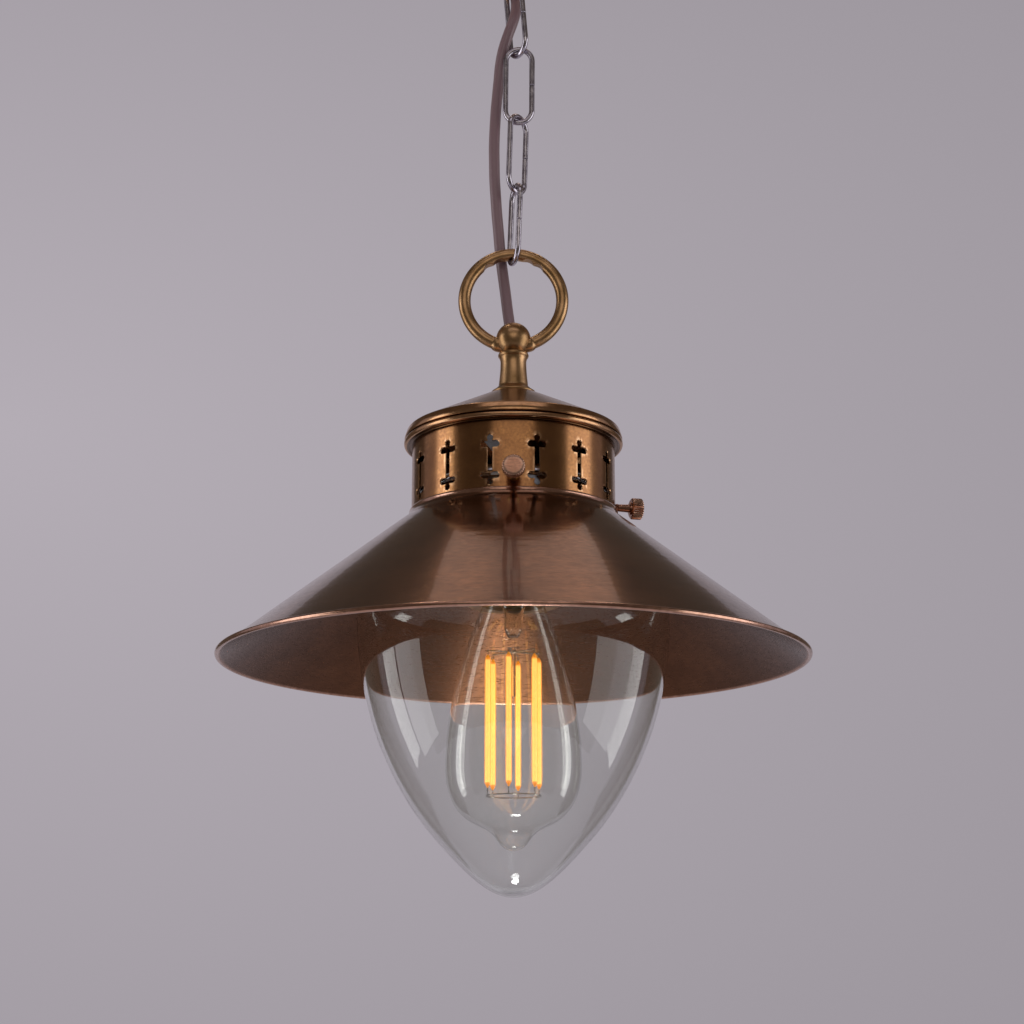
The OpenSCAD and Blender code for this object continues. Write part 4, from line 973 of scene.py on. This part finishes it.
class LANTERN_OT_ceiling(bpy.types.Operator):
    """Spins the ceiling cup and turns the collar with its loop"""
    bl_idname = "lantern.ceiling"
    bl_label = "Ceiling cup and loop"

    def execute(self, context):
        wide, deep = CUP_SHOULDER
        bowl = [(CUP_FLAT + wide * x, CUP_LOW + deep + deep * z) for x, z in arc(0, 0, 1, -90, 0, 30)]
        outside = [(5.15, CUP_LOW)] + bowl + [(49.1, -6.3), (49.2, -5.5), (49.2, -2.6)]
        bead = arc(48.8, -1.2, 1.2, -60, 210, 20)
        inner = shifted(outside[:-1], mm(context.scene.lantern_sizes.sheet))[::-1]
        cup = turned(finer(outside, 2.0) + bead + finer(inner, 2.0), 160,
                     worn_and_lit=lambda r, z: 0.8 if z > -3 else 0.0)
        add_piece("spun_cup", cup, "gallery", "ceiling", "aged_copper", "ceiling_cup")

        collar = turned([(5.0, CUP_LOW), (10.5, CUP_LOW)] + arc(10.5, CUP_LOW - 1, 1, 90, 0, 5)
                        + arc(10.3, COLLAR_LOW + 1.2, 1.2, 0, -90, 6)
                        + [(4.5, COLLAR_LOW), (4.2, COLLAR_LOW + 0.3), (4.2, -39.5), (5.0, -39.5)], 96)
        side = [(LOOP_HALF, LOOP_ENDS_Z), (LOOP_HALF, -46.0)]
        flat = side + arc(0, LOOP_BEND_Z, LOOP_HALF, 0, -180, 36) + [(-x, z) for x, z in side[::-1]]
        yaw = math.radians(LOOP_YAW)
        line = [Vector((x * math.cos(yaw), x * math.sin(yaw), z)) for x, z in flat]
        loop = swept(line, LOOP_WIRE / 2, 32)
        add_piece("cast_loop", carved("cast_loop", collar, ("UNION", loop)), "brass", "ceiling",
                  "aged_brass", "collar_loop")
        return {"FINISHED"}


# ---- Ring and stem ----

STEM_FOOT = 133.8
RING_HEIGHT = 183.8
BALL_HEIGHT = 162.8
BALL = 8.7
# Scallops inside the ring's top: where they are, the circle that they stand on and their radius
SCALLOPS = (-36, -20, 0, 20, 36)
SCALLOP_CIRCLE = 19.0
SCALLOP = 3.6
# Steps around the ring, and around its wire
RING_STEPS = 260
RING_SIDES = 40
# The bore for the flex, its round end in the ball, and the way that its mouth leads out
STEM_BORE = 3.6
BORE_END = 4.2
MOUTH = (-1.9, 4.6, 17)
MOUTH_BORE = 3.4


def scalloped(r, a):
    """The distance from the ring's middle at the angle a, pushed out of any scallop that holds it"""
    for turn in SCALLOPS:
        centre = math.radians(90 + turn)
        dx = r * math.cos(a) - SCALLOP_CIRCLE * math.cos(centre)
        dz = r * math.sin(a) - SCALLOP_CIRCLE * math.sin(centre)
        if math.hypot(dx, dz) < SCALLOP and math.sin(a) > 0:
            side = SCALLOP_CIRCLE * math.sin(a - centre)
            r = SCALLOP_CIRCLE * math.cos(a - centre) + math.sqrt(max(SCALLOP ** 2 - side ** 2, 0.0))
    return r


class LANTERN_OT_ring(bpy.types.Operator):
    """Casts the hanging ring with its scallops, and turns the ball and stem below it"""
    bl_idname = "lantern.ring"
    bl_label = "Ring and stem"

    def execute(self, context):
        sizes = context.scene.lantern_sizes
        radius, wire = mm(sizes.ring_radius), mm(sizes.ring_wire) / 2
        hoop = Form()
        for i in range(RING_STEPS):
            a = 2 * math.pi * i / RING_STEPS
            for k in range(RING_SIDES):
                b = 2 * math.pi * k / RING_SIDES
                r = scalloped(radius + wire * math.cos(b), a)
                hoop.add([(r * math.cos(a), wire * math.sin(b), RING_HEIGHT + r * math.sin(a))], [])
        hoop.faces += rows_between(RING_STEPS, RING_SIDES, closed=True)

        ball_z = BALL_HEIGHT - STEM_FOOT
        outside = (arc(10.4, 0.8, 0.8, -90, 50, 8) + [(9.4, 2.4), (8.5, 3.3)]
                   + arc(7.3, 3.2, 0.9, 40, 80, 6)
                   + curve((7.35, 4.3), (7.0, 8.2), (6.4, 11.4), (6.4, 17.4), 14) + [(6.7, 18.6)]
                   + arc(6.2, 20.6, 1.4, -55, 78, 14) + arc(0, ball_z, BALL, -47, 90, 30)[:-1]
                   + [(0.0, ball_z + BALL)])
        bend_z = FLEX_MOUTH_Z - RIM_Z - STEM_FOOT
        bore = ([(0.0, bend_z + BORE_END)] + arc(0, bend_z, BORE_END, 80, -30, 8)
                + [(STEM_BORE, bend_z - 3), (STEM_BORE, 10.0), (5.0, 10.0), (5.0, 0.0)])
        stem = turned(outside + bore, 96).moved(Matrix.Translation((0, 0, STEM_FOOT)))
        # Short bosses where the ring's wire runs into the ball
        bosses = []
        for side in (-1, 1):
            ends = []
            for turn, r in ((9, 3.95), (19, 3.85), (21, 3.7), (22.6, 3.4), (24, 3.0)):
                a = math.radians(-90 + side * turn)
                ends.append((Vector((radius * math.cos(a), 0, RING_HEIGHT + radius * math.sin(a))), r))
            bosses.append(("UNION", swept([p for p, _ in ends], [r for _, r in ends], 32)))
        mouth = Vector(MOUTH).normalized()
        start = Vector((0, 0, FLEX_MOUTH_Z - RIM_Z))
        drill = swept([start + mouth * d for d in (0, 6, 12, 24)], MOUTH_BORE, 40)
        mesh = carved("cast_ring", stem, ("UNION", hoop), *bosses, ("DIFFERENCE", drill))
        mesh.transform(Matrix.Translation((0, 0, RIM_Z * MM)))
        add_piece("cast_ring", mesh, "brass", "lantern", "aged_brass", "hanging_ring")
        return {"FINISHED"}


# ---- Lid ----

# How far the lid's edge stands out past the gallery, and the radius of the stem's hole in it
LID_OVERHANG = 3.9
LID_HOLE = 5.15


def lid_light_and_shade(r, z):
    """How pale or dark the lid is painted: a painted shade under its edge, a painted highlight on the edge
    band, and less of that highlight on the cone
    """
    if z < 0.3:
        return -0.95
    if z < 1.6:
        return 0.5
    return 0.35 if z < 5.5 else 0.1


class LANTERN_OT_lid(bpy.types.Operator):
    """Spins the conical lid with its edge band"""
    bl_idname = "lantern.lid"
    bl_label = "Lid"

    def execute(self, context):
        sizes = context.scene.lantern_sizes
        high, t = mm(sizes.lid_height), mm(sizes.sheet)
        edge = mm(sizes.gallery_width) / 2 + LID_OVERHANG
        cone = arc(edge - 2.05, 3.85, 1.1, 18, 65, 8) + [(12.0, high), (LID_HOLE, high)]
        outside = [(edge - 1.1, 0.0), (edge - 0.5, 0.1), (edge - 0.12, 0.45), (edge, 1.0)] + cone
        form = turned(sheet(finer(outside, 2.0), t), 224, worn_and_lit=lid_light_and_shade)
        form.moved(on_lantern(mm(sizes.shade_height) + mm(sizes.gallery_height)))
        add_piece("spun_lid", form, "gallery", "lantern", "aged_copper", "lid")
        return {"FINISHED"}


# ---- Gallery ----

CROSS_HEIGHT = 87.0
SCREW_HEIGHT = 79.5
# Radius of a screw's hole, and the chamfer round every opening
SCREW_HOLE = 3.03
CHAMFER = 0.28
# The sheet goes this far down inside the shade's neck, and ends this far below the flange's top
GALLERY_TAIL = 6.5
FLANGE_ROLL = 2.35
# Columns of the sheet's faces to a cross, and rows up it
CROSS_COLUMNS = 18
SHEET_ROWS = 22
# Where the sheet's seam lies, as a share of the distance between crosses: between two openings
SEAM = 0.22
# Radius of the flange's rolled edge, and how far its middle stands out from the gallery
FLANGE_BEAD = 1.45
FLANGE_REACH = 2.65


def cross_outline():
    """Right-hand way round a double-ended cross, from its lowest point, closed"""
    half = (arc(0, -10.6, 1.4, -90, 38, 6) + [(1.1, -8.95), (3.05, -8.95)]
            + arc(3.05, -7.5, 1.45, -80, 80, 8) + [(3.05, -6.05), (1.1, -6.05), (1.1, -3.0), (1.1, 0.0)])
    right = half + [(x, -z) for x, z in half[-2::-1]]
    return right + [(-x, z) for x, z in right[-2:0:-1]]


def grown(loop, d):
    """A closed loop moved outwards by d at every point"""
    moved = []
    for i, (x, y) in enumerate(loop):
        a, b = loop[i - 1], loop[(i + 1) % len(loop)]
        normal = Vector((0.0, 0.0))
        for p, q in ((a, (x, y)), ((x, y), b)):
            step = Vector((q[0] - p[0], q[1] - p[1])).normalized()
            normal += Vector((step.y, -step.x))
        normal /= max(normal.dot(normal) / 2, 0.6)
        moved.append((x + d * normal.x, y + d * normal.y))
    return moved


def inside(point, loop):
    """Whether the point lies inside the closed loop"""
    x, y = point
    hit = False
    for (x1, y1), (x2, y2) in zip(loop, loop[1:] + loop[:1]):
        if (y1 > y) != (y2 > y) and x < (x2 - x1) * (y - y1) / (y2 - y1) + x1:
            hit = not hit
    return hit


class LANTERN_OT_gallery(bpy.types.Operator):
    """Rolls the gallery, pierces its crosses and screw holes, and turns its flange"""
    bl_idname = "lantern.gallery"
    bl_label = "Gallery"

    def execute(self, context):
        sizes = context.scene.lantern_sizes
        out = mm(sizes.gallery_width) / 2
        wall = mm(sizes.gallery_sheet)
        flange_z = mm(sizes.shade_height) + mm(sizes.gallery_height)
        low, high = mm(sizes.shade_height) - GALLERY_TAIL, flange_z - FLANGE_ROLL
        count = sizes.crosses
        columns, rows = count * CROSS_COLUMNS, SHEET_ROWS
        pitch = 2 * math.pi * out / count
        seam = pitch * SEAM
        wide = pitch * count

        # The sheet is laid out flat, with u to the right as seen from outside
        loops = []
        for k in range(count):
            centre = (k + 0.5) * pitch
            loops.append([(centre + x, CROSS_HEIGHT + z) for x, z in cross_outline()])
        for k in (4, count - 5, count):
            loops.append([(k * pitch + SCREW_HOLE * math.cos(a), SCREW_HEIGHT + SCREW_HOLE * math.sin(a))
                          for a in (2 * math.pi * i / 32 for i in range(32))])
        holes = [grown(loop, CHAMFER) for loop in loops]
        points, edges = [], []

        def add_loop(loop):
            first = len(points)
            points.extend(loop)
            edges.extend((first + i, first + (i + 1) % len(loop)) for i in range(len(loop)))

        us = [seam + wide * i / columns for i in range(columns + 1)]
        vs = [low + (high - low) * i / rows for i in range(rows + 1)]
        add_loop([(u, low) for u in us] + [(us[-1], v) for v in vs[1:-1]]
                 + [(u, high) for u in us[::-1]] + [(us[0], v) for v in vs[-2:0:-1]])
        for hole in holes:
            add_loop(hole)
        room = [(min(x for x, _ in h) - 0.6, max(x for x, _ in h) + 0.6, grown(h, 0.5)) for h in holes]
        for u in us[1:-1]:
            near = [h for a, b, h in room if a < u < b]
            points += [(u, v) for v in vs[1:-1] if not any(inside((u, v), h) for h in near)]
        spots, _, tiles, *_ = delaunay_2d_cdt([Vector(p) for p in points], edges, [], 0, 1e-5)
        tiles = [t for t in tiles if len(t) == 3]
        bounds = [(min(x for x, _ in h), max(x for x, _ in h), h) for h in holes]
        kept = []
        for tile in tiles:
            middle = sum((spots[i] for i in tile), Vector((0.0, 0.0))) / 3
            if not any(a < middle.x < b and inside(middle, h) for a, b, h in bounds):
                kept.append(tile)

        def rolled(p, r):
            a = p[0] / out
            return (r * math.sin(a), -r * math.cos(a), p[1])

        form = Form()
        # The outside is painted darker over its top 3 mm, a painted shade under the flange
        form.add([rolled(p, out) for p in spots], kept,
                 [-0.55 * max(0.0, 1 - (high - p[1]) / 3.0) for p in spots])
        form.add([rolled(p, out - wall) for p in spots], [t[::-1] for t in kept])
        # The chamfers round every opening are painted pale, a painted highlight on their edges
        for loop, hole in zip(loops, holes):
            first = form.add([rolled(p, out) for p in hole], [], 0.9)
            form.add([rolled(p, out - CHAMFER) for p in loop], [], 0.9)
            form.add([rolled(p, out - wall + CHAMFER) for p in loop], [])
            form.add([rolled(p, out - wall) for p in hole], [])
            form.faces += rows_between(4, len(loop), first)
        rim = flange_z - FLANGE_BEAD
        edge = out + FLANGE_REACH
        profile = ([(out - wall, high), (out, high)] + arc(out + 0.5, rim - 1.4, 0.5, 180, 90, 4)
                   + arc(edge, rim, FLANGE_BEAD, -140, 140, 24) + [(out - wall, rim + 0.9)])
        # The flange is painted pale on the outside of its bead, a painted highlight, and dark elsewhere, a
        # painted shade
        flange = turned(profile, columns, closed=False,
                        worn_and_lit=lambda r, z: 0.6 if r > edge + 0.2 and z < rim + 1.2 else -0.6)
        inner = turned([(out - wall, rim + 0.9), (out - wall, high)], columns, closed=False)
        foot = turned([(out, low), (out - wall, low)], columns, closed=False)
        turn = Matrix.Rotation(seam / out, 4, "Z")
        joined(form, *(band.moved(turn) for band in (flange, inner, foot))).moved(on_lantern())
        add_piece("pierced_gallery", form, "gallery", "lantern", "aged_copper", "gallery")
        return {"FINISHED"}


# ---- Thumbscrews ----

# How far a head's face stands out past the gallery, and how far the tip is from the lantern's axis
HEAD_REACH = 15.6
SCREW_TIP = 44.0
# The rolled thread: radius of its crests and roots, its pitch, and how far behind the face it ends
THREAD_CREST = 2.0
THREAD_ROOT = 1.78
THREAD_PITCH = 0.7
THREAD_END = 12
# Outline of the head and its collar: radius, and distance behind the face
HEAD = ((2.0, 7.2), (2.0, 6.5), (2.9, 6.5), (3.05, 6.2), (3.2, 5.8), (4.4, 5.8), (4.7, 5.6), (5.2, 5.2),
        (5.25, 5.0), (5.25, 0.8), (5.2, 0.6), (4.65, 0.2), (4.35, 0.08), (3.0, 0), (1.5, 0), (0, 0))
# Knurls are this deep, on what is wider than this
KNURL = 0.45
KNURLED_FROM = 5
# Pitches of the crosses from the front screw to each of the three
SCREW_PITCHES = (0, 4, -5)


class LANTERN_OT_thumbscrews(bpy.types.Operator):
    """Turns and knurls the three thumbscrews that hold the glass"""
    bl_idname = "lantern.thumbscrews"
    bl_label = "Thumbscrews"

    def execute(self, context):
        sizes = context.scene.lantern_sizes
        face = mm(sizes.gallery_width) / 2 + HEAD_REACH
        shank = [(0.0, SCREW_TIP), (1.5, SCREW_TIP), (THREAD_CREST, SCREW_TIP + 0.5)]
        z = SCREW_TIP + 1.5
        while z < face - THREAD_END:
            shank += [(THREAD_CREST, z), (THREAD_ROOT, z + THREAD_PITCH / 2)]
            z += THREAD_PITCH
        profile = shank + [(r, face - behind) for r, behind in HEAD]
        for i, pitches in enumerate(SCREW_PITCHES, 1):
            bearing = math.radians(360 / sizes.crosses * pitches)
            place = (on_lantern(SCREW_HEIGHT) @ Matrix.Rotation(bearing, 4, "Z")
                     @ Matrix.Rotation(math.pi / 2, 4, "X"))
            # Pale on the knurls, where fingers wear them, and on the face's chamfer, a painted highlight
            screw = turned(profile, sizes.knurls * 8, closed=False, ripples=sizes.knurls,
                           ripple=lambda r, z: KNURL if r > KNURLED_FROM else 0.0,
                           worn_and_lit=lambda r, z: 0.9 if r > KNURLED_FROM or -0.3 < z - face < -0.05 else 0.0)
            add_piece(f"knurled_screw_{i}", screw.moved(place), "turned_copper", f"thumb_screw_{i}",
                      "aged_copper", f"thumb_screw_{i}", crease=30)
        return {"FINISHED"}


# ---- Shade ----


# Room between the gallery and the shade's neck, and the bevel of the neck's top edge
NECK_ROOM = 0.2
NECK_BEVEL = 0.7
# Steps down the cone's outside and inside
CONE_STEP = 0.6
INSIDE_STEP = 1.5
# Height of the band at the top of the neck that is painted pale, a painted highlight
NECK_HIGHLIGHT = 2.4


def ridge(s):
    """Height in millimetres of the spinning tool's ridges at a distance s down the shade"""
    return (0.002 * math.sin(s / 0.93) + 0.003 * math.sin(s / 1.61 + 1.7)
            + 0.008 * math.sin(s / 3.7 + 0.6) + 0.014 * math.sin(s / 8.3 + 2.9))


class LANTERN_OT_shade(bpy.types.Operator):
    """Spins the shade, with the tool's ridges, its neck and its rolled rim"""
    bl_idname = "lantern.shade"
    bl_label = "Shade"

    def execute(self, context):
        sizes = context.scene.lantern_sizes
        r, high, t = mm(sizes.shade_width) / 2, mm(sizes.shade_height), mm(sizes.sheet)
        bead = mm(sizes.rim_bead) / 2
        neck_in = mm(sizes.gallery_width) / 2 + NECK_ROOM
        neck = neck_in + t
        fillet = mm(sizes.neck_fillet)
        top = high + mm(sizes.neck_rise)
        slope = math.atan((top - NECK_BEVEL - fillet / 2) / (r - neck))
        mid = neck + fillet
        mid_z = (fillet - (mid - r) * math.sin(slope)) / math.cos(slope)
        tilt = 270 - math.degrees(slope)
        start = (r - bead, bead * math.tan(slope))
        cone = finer([start, arc(mid, mid_z, fillet, tilt, 180)[0]], CONE_STEP)
        lean_x, lean_z = math.sin(slope), math.cos(slope)
        outer = [(x + lean_x * ridge(i * CONE_STEP), z + lean_z * ridge(i * CONE_STEP))
                 for i, (x, z) in enumerate(cone)]
        # The cone's first two rows would lie inside the bead
        outer = (outer[2:] + arc(mid, mid_z, fillet, tilt, 180, 16)[1:]
                 + [(neck - 0.2, top - 0.35), (neck_in + 0.15, top)])
        inner = [(neck_in, top - 0.15)] + arc(mid, mid_z, fillet + t, 180, tilt, 8)
        end = (start[0] - t * lean_x, start[1] - t * lean_z)
        inner += finer([inner[-1], end], INSIDE_STEP)[1:-1]
        roll = arc(r - bead, bead, bead, 232, 232 + 360 - 84, 28)

        # Pale on the rolled rim, where the lacquer wears and a highlight is painted, and on the neck's top
        # band, a painted highlight
        def wear_and_light(x, z):
            if x > r - 2.2 * bead:
                return 1.0
            return 0.9 if z > top - NECK_HIGHLIGHT else 0.0

        form = turned(outer + inner + [end] + roll, 288, worn_and_lit=wear_and_light)
        mesh = make_mesh("spun_shade", form, crease=50)
        mesh.transform(Matrix.Translation((0, 0, RIM_Z * MM)))
        add_piece("spun_shade", mesh, "copper", "lantern", "aged_copper", "shade")
        # The inside has its own, darker finish: painted shade
        mesh.materials.append(FINISHES["copper_inside"])
        middle = t / math.cos(slope) / 2
        for face in mesh.polygons:
            x, z = mm(face.center.xy.length), mm(face.center.z) - RIM_Z
            within = z < (r - x) * math.tan(slope) - middle if x > mid else x < neck_in + t / 2
            face.material_index = int(within and x < r - 2 * bead)
        return {"FINISHED"}


# ---- Glass ----

# Radius of the neck, and the heights of the belly, of the shoulder's end, of the seat that the screws
# hold, and of the rolled lip's radius
NECK_RADIUS = 43.4
BELLY_Z = 24.4
SHOULDER_Z = 61.9
SEAT_Z = 81.8
LIP = 1.5
# The glass is thicker at its tip, where the gather was drawn off: by how much, and how far out
TIP_GATHER = 0.9
TIP_RADIUS = 34


class LANTERN_OT_glass(bpy.types.Operator):
    """Blows the acorn glass with its neck and rolled lip"""
    bl_idname = "lantern.glass"
    bl_label = "Acorn glass"

    def execute(self, context):
        sizes = context.scene.lantern_sizes
        r, deep, wall = mm(sizes.glass_width) / 2, mm(sizes.glass_depth), mm(sizes.glass_wall)
        turn = (0.491 * r, -0.754 * deep)
        along = (math.cos(math.radians(48)), math.sin(math.radians(48)))
        neck, rim = NECK_RADIUS, SEAT_Z - 0.8
        before = (turn[0] - 21 * along[0], turn[1] - 21 * along[1])
        after = (turn[0] + 24 * along[0], turn[1] + 24 * along[1])
        outside = (curve((0, -deep), (12, -deep), before, turn, 24)
                   + curve(turn, after, (r, -0.255 * deep), (r, BELLY_Z), 40)[1:]
                   + curve((r, BELLY_Z), (r, BELLY_Z + 22), (neck, SHOULDER_Z - 15),
                           (neck, SHOULDER_Z), 32)[1:]
                   + [(neck, SHOULDER_Z + 6.5), (neck, SHOULDER_Z + 12.5), (neck, rim)])
        rolled = arc(neck + 0.3, rim, 0.3, 180, 90, 3)[1:] + arc(neck + 1.0, SEAT_Z + LIP, LIP, -80, 90, 14)
        inner = [(x, z + TIP_GATHER * max(0.0, 1 - x / TIP_RADIUS) ** 2)
                 for x, z in shifted(outside, wall)[::-1]]
        lip_top = SEAT_Z + 2 * LIP
        top = [(neck - wall + 0.6, lip_top), (neck - wall, lip_top - 0.6)]
        form = turned(outside + rolled + top + inner, 224, closed=False).moved(on_lantern())
        piece = add_piece("acorn", form, "glass", "lantern", "clear_glass", "acorn_glass", crease=60)
        # Light passes: the glass throws no shadow
        piece.visible_shadow = False
        return {"FINISHED"}


# ---- Bulb ----

# The bulb's glass: its thickness, the radius and height of its neck in the cap, and its widest height
BULB_WALL = 0.45
BULB_NECK = 13.2
BULB_CAP_Z = 31.4
BULB_BELLY_Z = -47.6
# The filament sticks: their ends, the circle they stand on, and how far the first is turned on it
STICK_TOP = 3.6
STICK_LOW = -58.4
STICK_CIRCLE = 12.8
STICK_TURN = 20


class LANTERN_OT_bulb(bpy.types.Operator):
    """Blows the bulb and stands its lit filament sticks in it"""
    bl_idname = "lantern.bulb"
    bl_label = "Bulb"

    def execute(self, context):
        sizes = context.scene.lantern_sizes
        r, deep = mm(sizes.bulb_width) / 2, mm(sizes.bulb_depth)
        neck = BULB_NECK
        tip = (0.275 * r, 6.4 - deep)
        flank = (0.69 * r, 14.4 - deep)
        outside = (curve((0, -deep), (tip[0] - 0.13 * r, -deep), (tip[0] - 2.2, tip[1] - 3.2), tip, 14)
                   + curve(tip, (tip[0] + 2.6, tip[1] + 3.5), (flank[0] - 5, flank[1] - 3.6), flank, 16)[1:]
                   + curve(flank, (flank[0] + 7, flank[1] + 5.1), (r, BULB_BELLY_Z - 10),
                           (r, BULB_BELLY_Z), 20)[1:]
                   + curve((r, BULB_BELLY_Z), (r, BULB_BELLY_Z + 30), (neck + 8, BULB_CAP_Z - 17),
                           (neck, BULB_CAP_Z), 36)[1:])
        form = turned(sheet(outside, BULB_WALL), 160, closed=False).moved(on_lantern())
        glass = add_piece("bulb", form, "bulb_glass", "bulb", "bulb_glass", "bulb_glass", crease=60)
        glass.visible_shadow = False

        core, skin, ends = Form(), Form(), Form()
        top, low = STICK_TOP, STICK_LOW
        outlines = [
            (core, 20, [(0, low + 2), (1.05, low + 2.4), (1.05, top - 2.4), (0, top - 2)]),
            (skin, 24, [(0, low + 1.2), (1.1, low + 1.5), (1.4, low + 2.2), (1.5, low + 6),
                        (1.5, top - 6), (1.4, top - 2.2), (1.1, top - 1.5), (0, top - 1.2)])]
        # A metal end at the foot of each stick, and the same upside down at its top, both painted as
        # glowing
        outlines += [(ends, 20, [(0, z), (0.45, z + s * 0.1), (0.55, z + s * 0.6), (0.95, z + s * 1.1),
                                 (1.05, z + s * 2.4), (0.8, z + s * 2.9), (0, z + s * 3.0)])
                     for z, s in ((low, 1), (top, -1))]
        for i in range(sizes.sticks):
            a = math.radians(STICK_TURN + 360 * i / sizes.sticks)
            place = Matrix.Translation((STICK_CIRCLE * math.cos(a), STICK_CIRCLE * math.sin(a), 0))
            for form, steps, outline in outlines:
                joined(form, turned(outline, steps, closed=False).moved(place))
        for name, form, finish, hides in (("filament_light", core, "glow", ["bulb_filaments"]),
                                          ("filament_skin", skin, "glow_skin", []),
                                          ("filament_ends", ends, "glow_end", [])):
            piece = add_piece(name, form.moved(on_lantern()), finish, "bulb", "filament", *hides)
            piece.visible_shadow = False
        return {"FINISHED"}


# ---- Pieces that keep the frame's shape ----


class LANTERN_OT_fittings(bpy.types.Operator):
    """Finishes the fittings whose shape comes from the frame"""
    bl_idname = "lantern.fittings"
    bl_label = "Fittings"

    def execute(self, context):
        for finish, names in KEPT_NODES.items():
            for name in names:
                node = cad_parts[name]
                for slot in node.material_slots:
                    slot.material = FINISHES[finish]
        for name in ("bulb_stem", "bulb_wires"):
            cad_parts[name].visible_shadow = False
        return {"FINISHED"}


# ---- Panel and run ----

STEPS = ("studio", "flex", "chain", "ceiling", "ring", "lid", "gallery", "thumbscrews", "shade", "glass",
         "bulb", "fittings")


class LANTERN_PT_panel(bpy.types.Panel):
    """Lists the lantern's pieces"""
    bl_label = "Hanging lantern"
    bl_idname = "LANTERN_PT_panel"
    bl_space_type = "VIEW_3D"
    bl_region_type = "UI"
    bl_category = "Lantern"

    def draw(self, context):
        for scene_name in GROUPS:
            group = getattr(context.scene, scene_name)
            box = self.layout.box()
            for name in group.bl_rna.properties.keys():
                if name not in ("rna_type", "name"):
                    box.prop(group, name)
        for step in STEPS:
            self.layout.operator(f"lantern.{step}")


GROUPS = {"lantern_sizes": LanternSizes, "lantern_finishes": LanternFinishes,
          "lantern_studio": LanternStudio}
CLASSES = (*GROUPS.values(), LANTERN_OT_studio, LANTERN_OT_flex, LANTERN_OT_chain, LANTERN_OT_ceiling,
           LANTERN_OT_ring, LANTERN_OT_lid, LANTERN_OT_gallery, LANTERN_OT_thumbscrews,
           LANTERN_OT_shade, LANTERN_OT_glass, LANTERN_OT_bulb, LANTERN_OT_fittings, LANTERN_PT_panel)


def register():
    for cls in CLASSES:
        bpy.utils.register_class(cls)
    for name, group in GROUPS.items():
        setattr(bpy.types.Scene, name, PointerProperty(type=group))


def unregister():
    for name in GROUPS:
        delattr(bpy.types.Scene, name)
    for cls in reversed(CLASSES):
        bpy.utils.unregister_class(cls)


def main():
    register()
    bpy.context.scene.view_settings.view_transform = "Standard"
    for step in STEPS:
        getattr(bpy.ops.lantern, step)()
    bpy.context.view_layer.update()


if __name__ == "__main__":
    main()
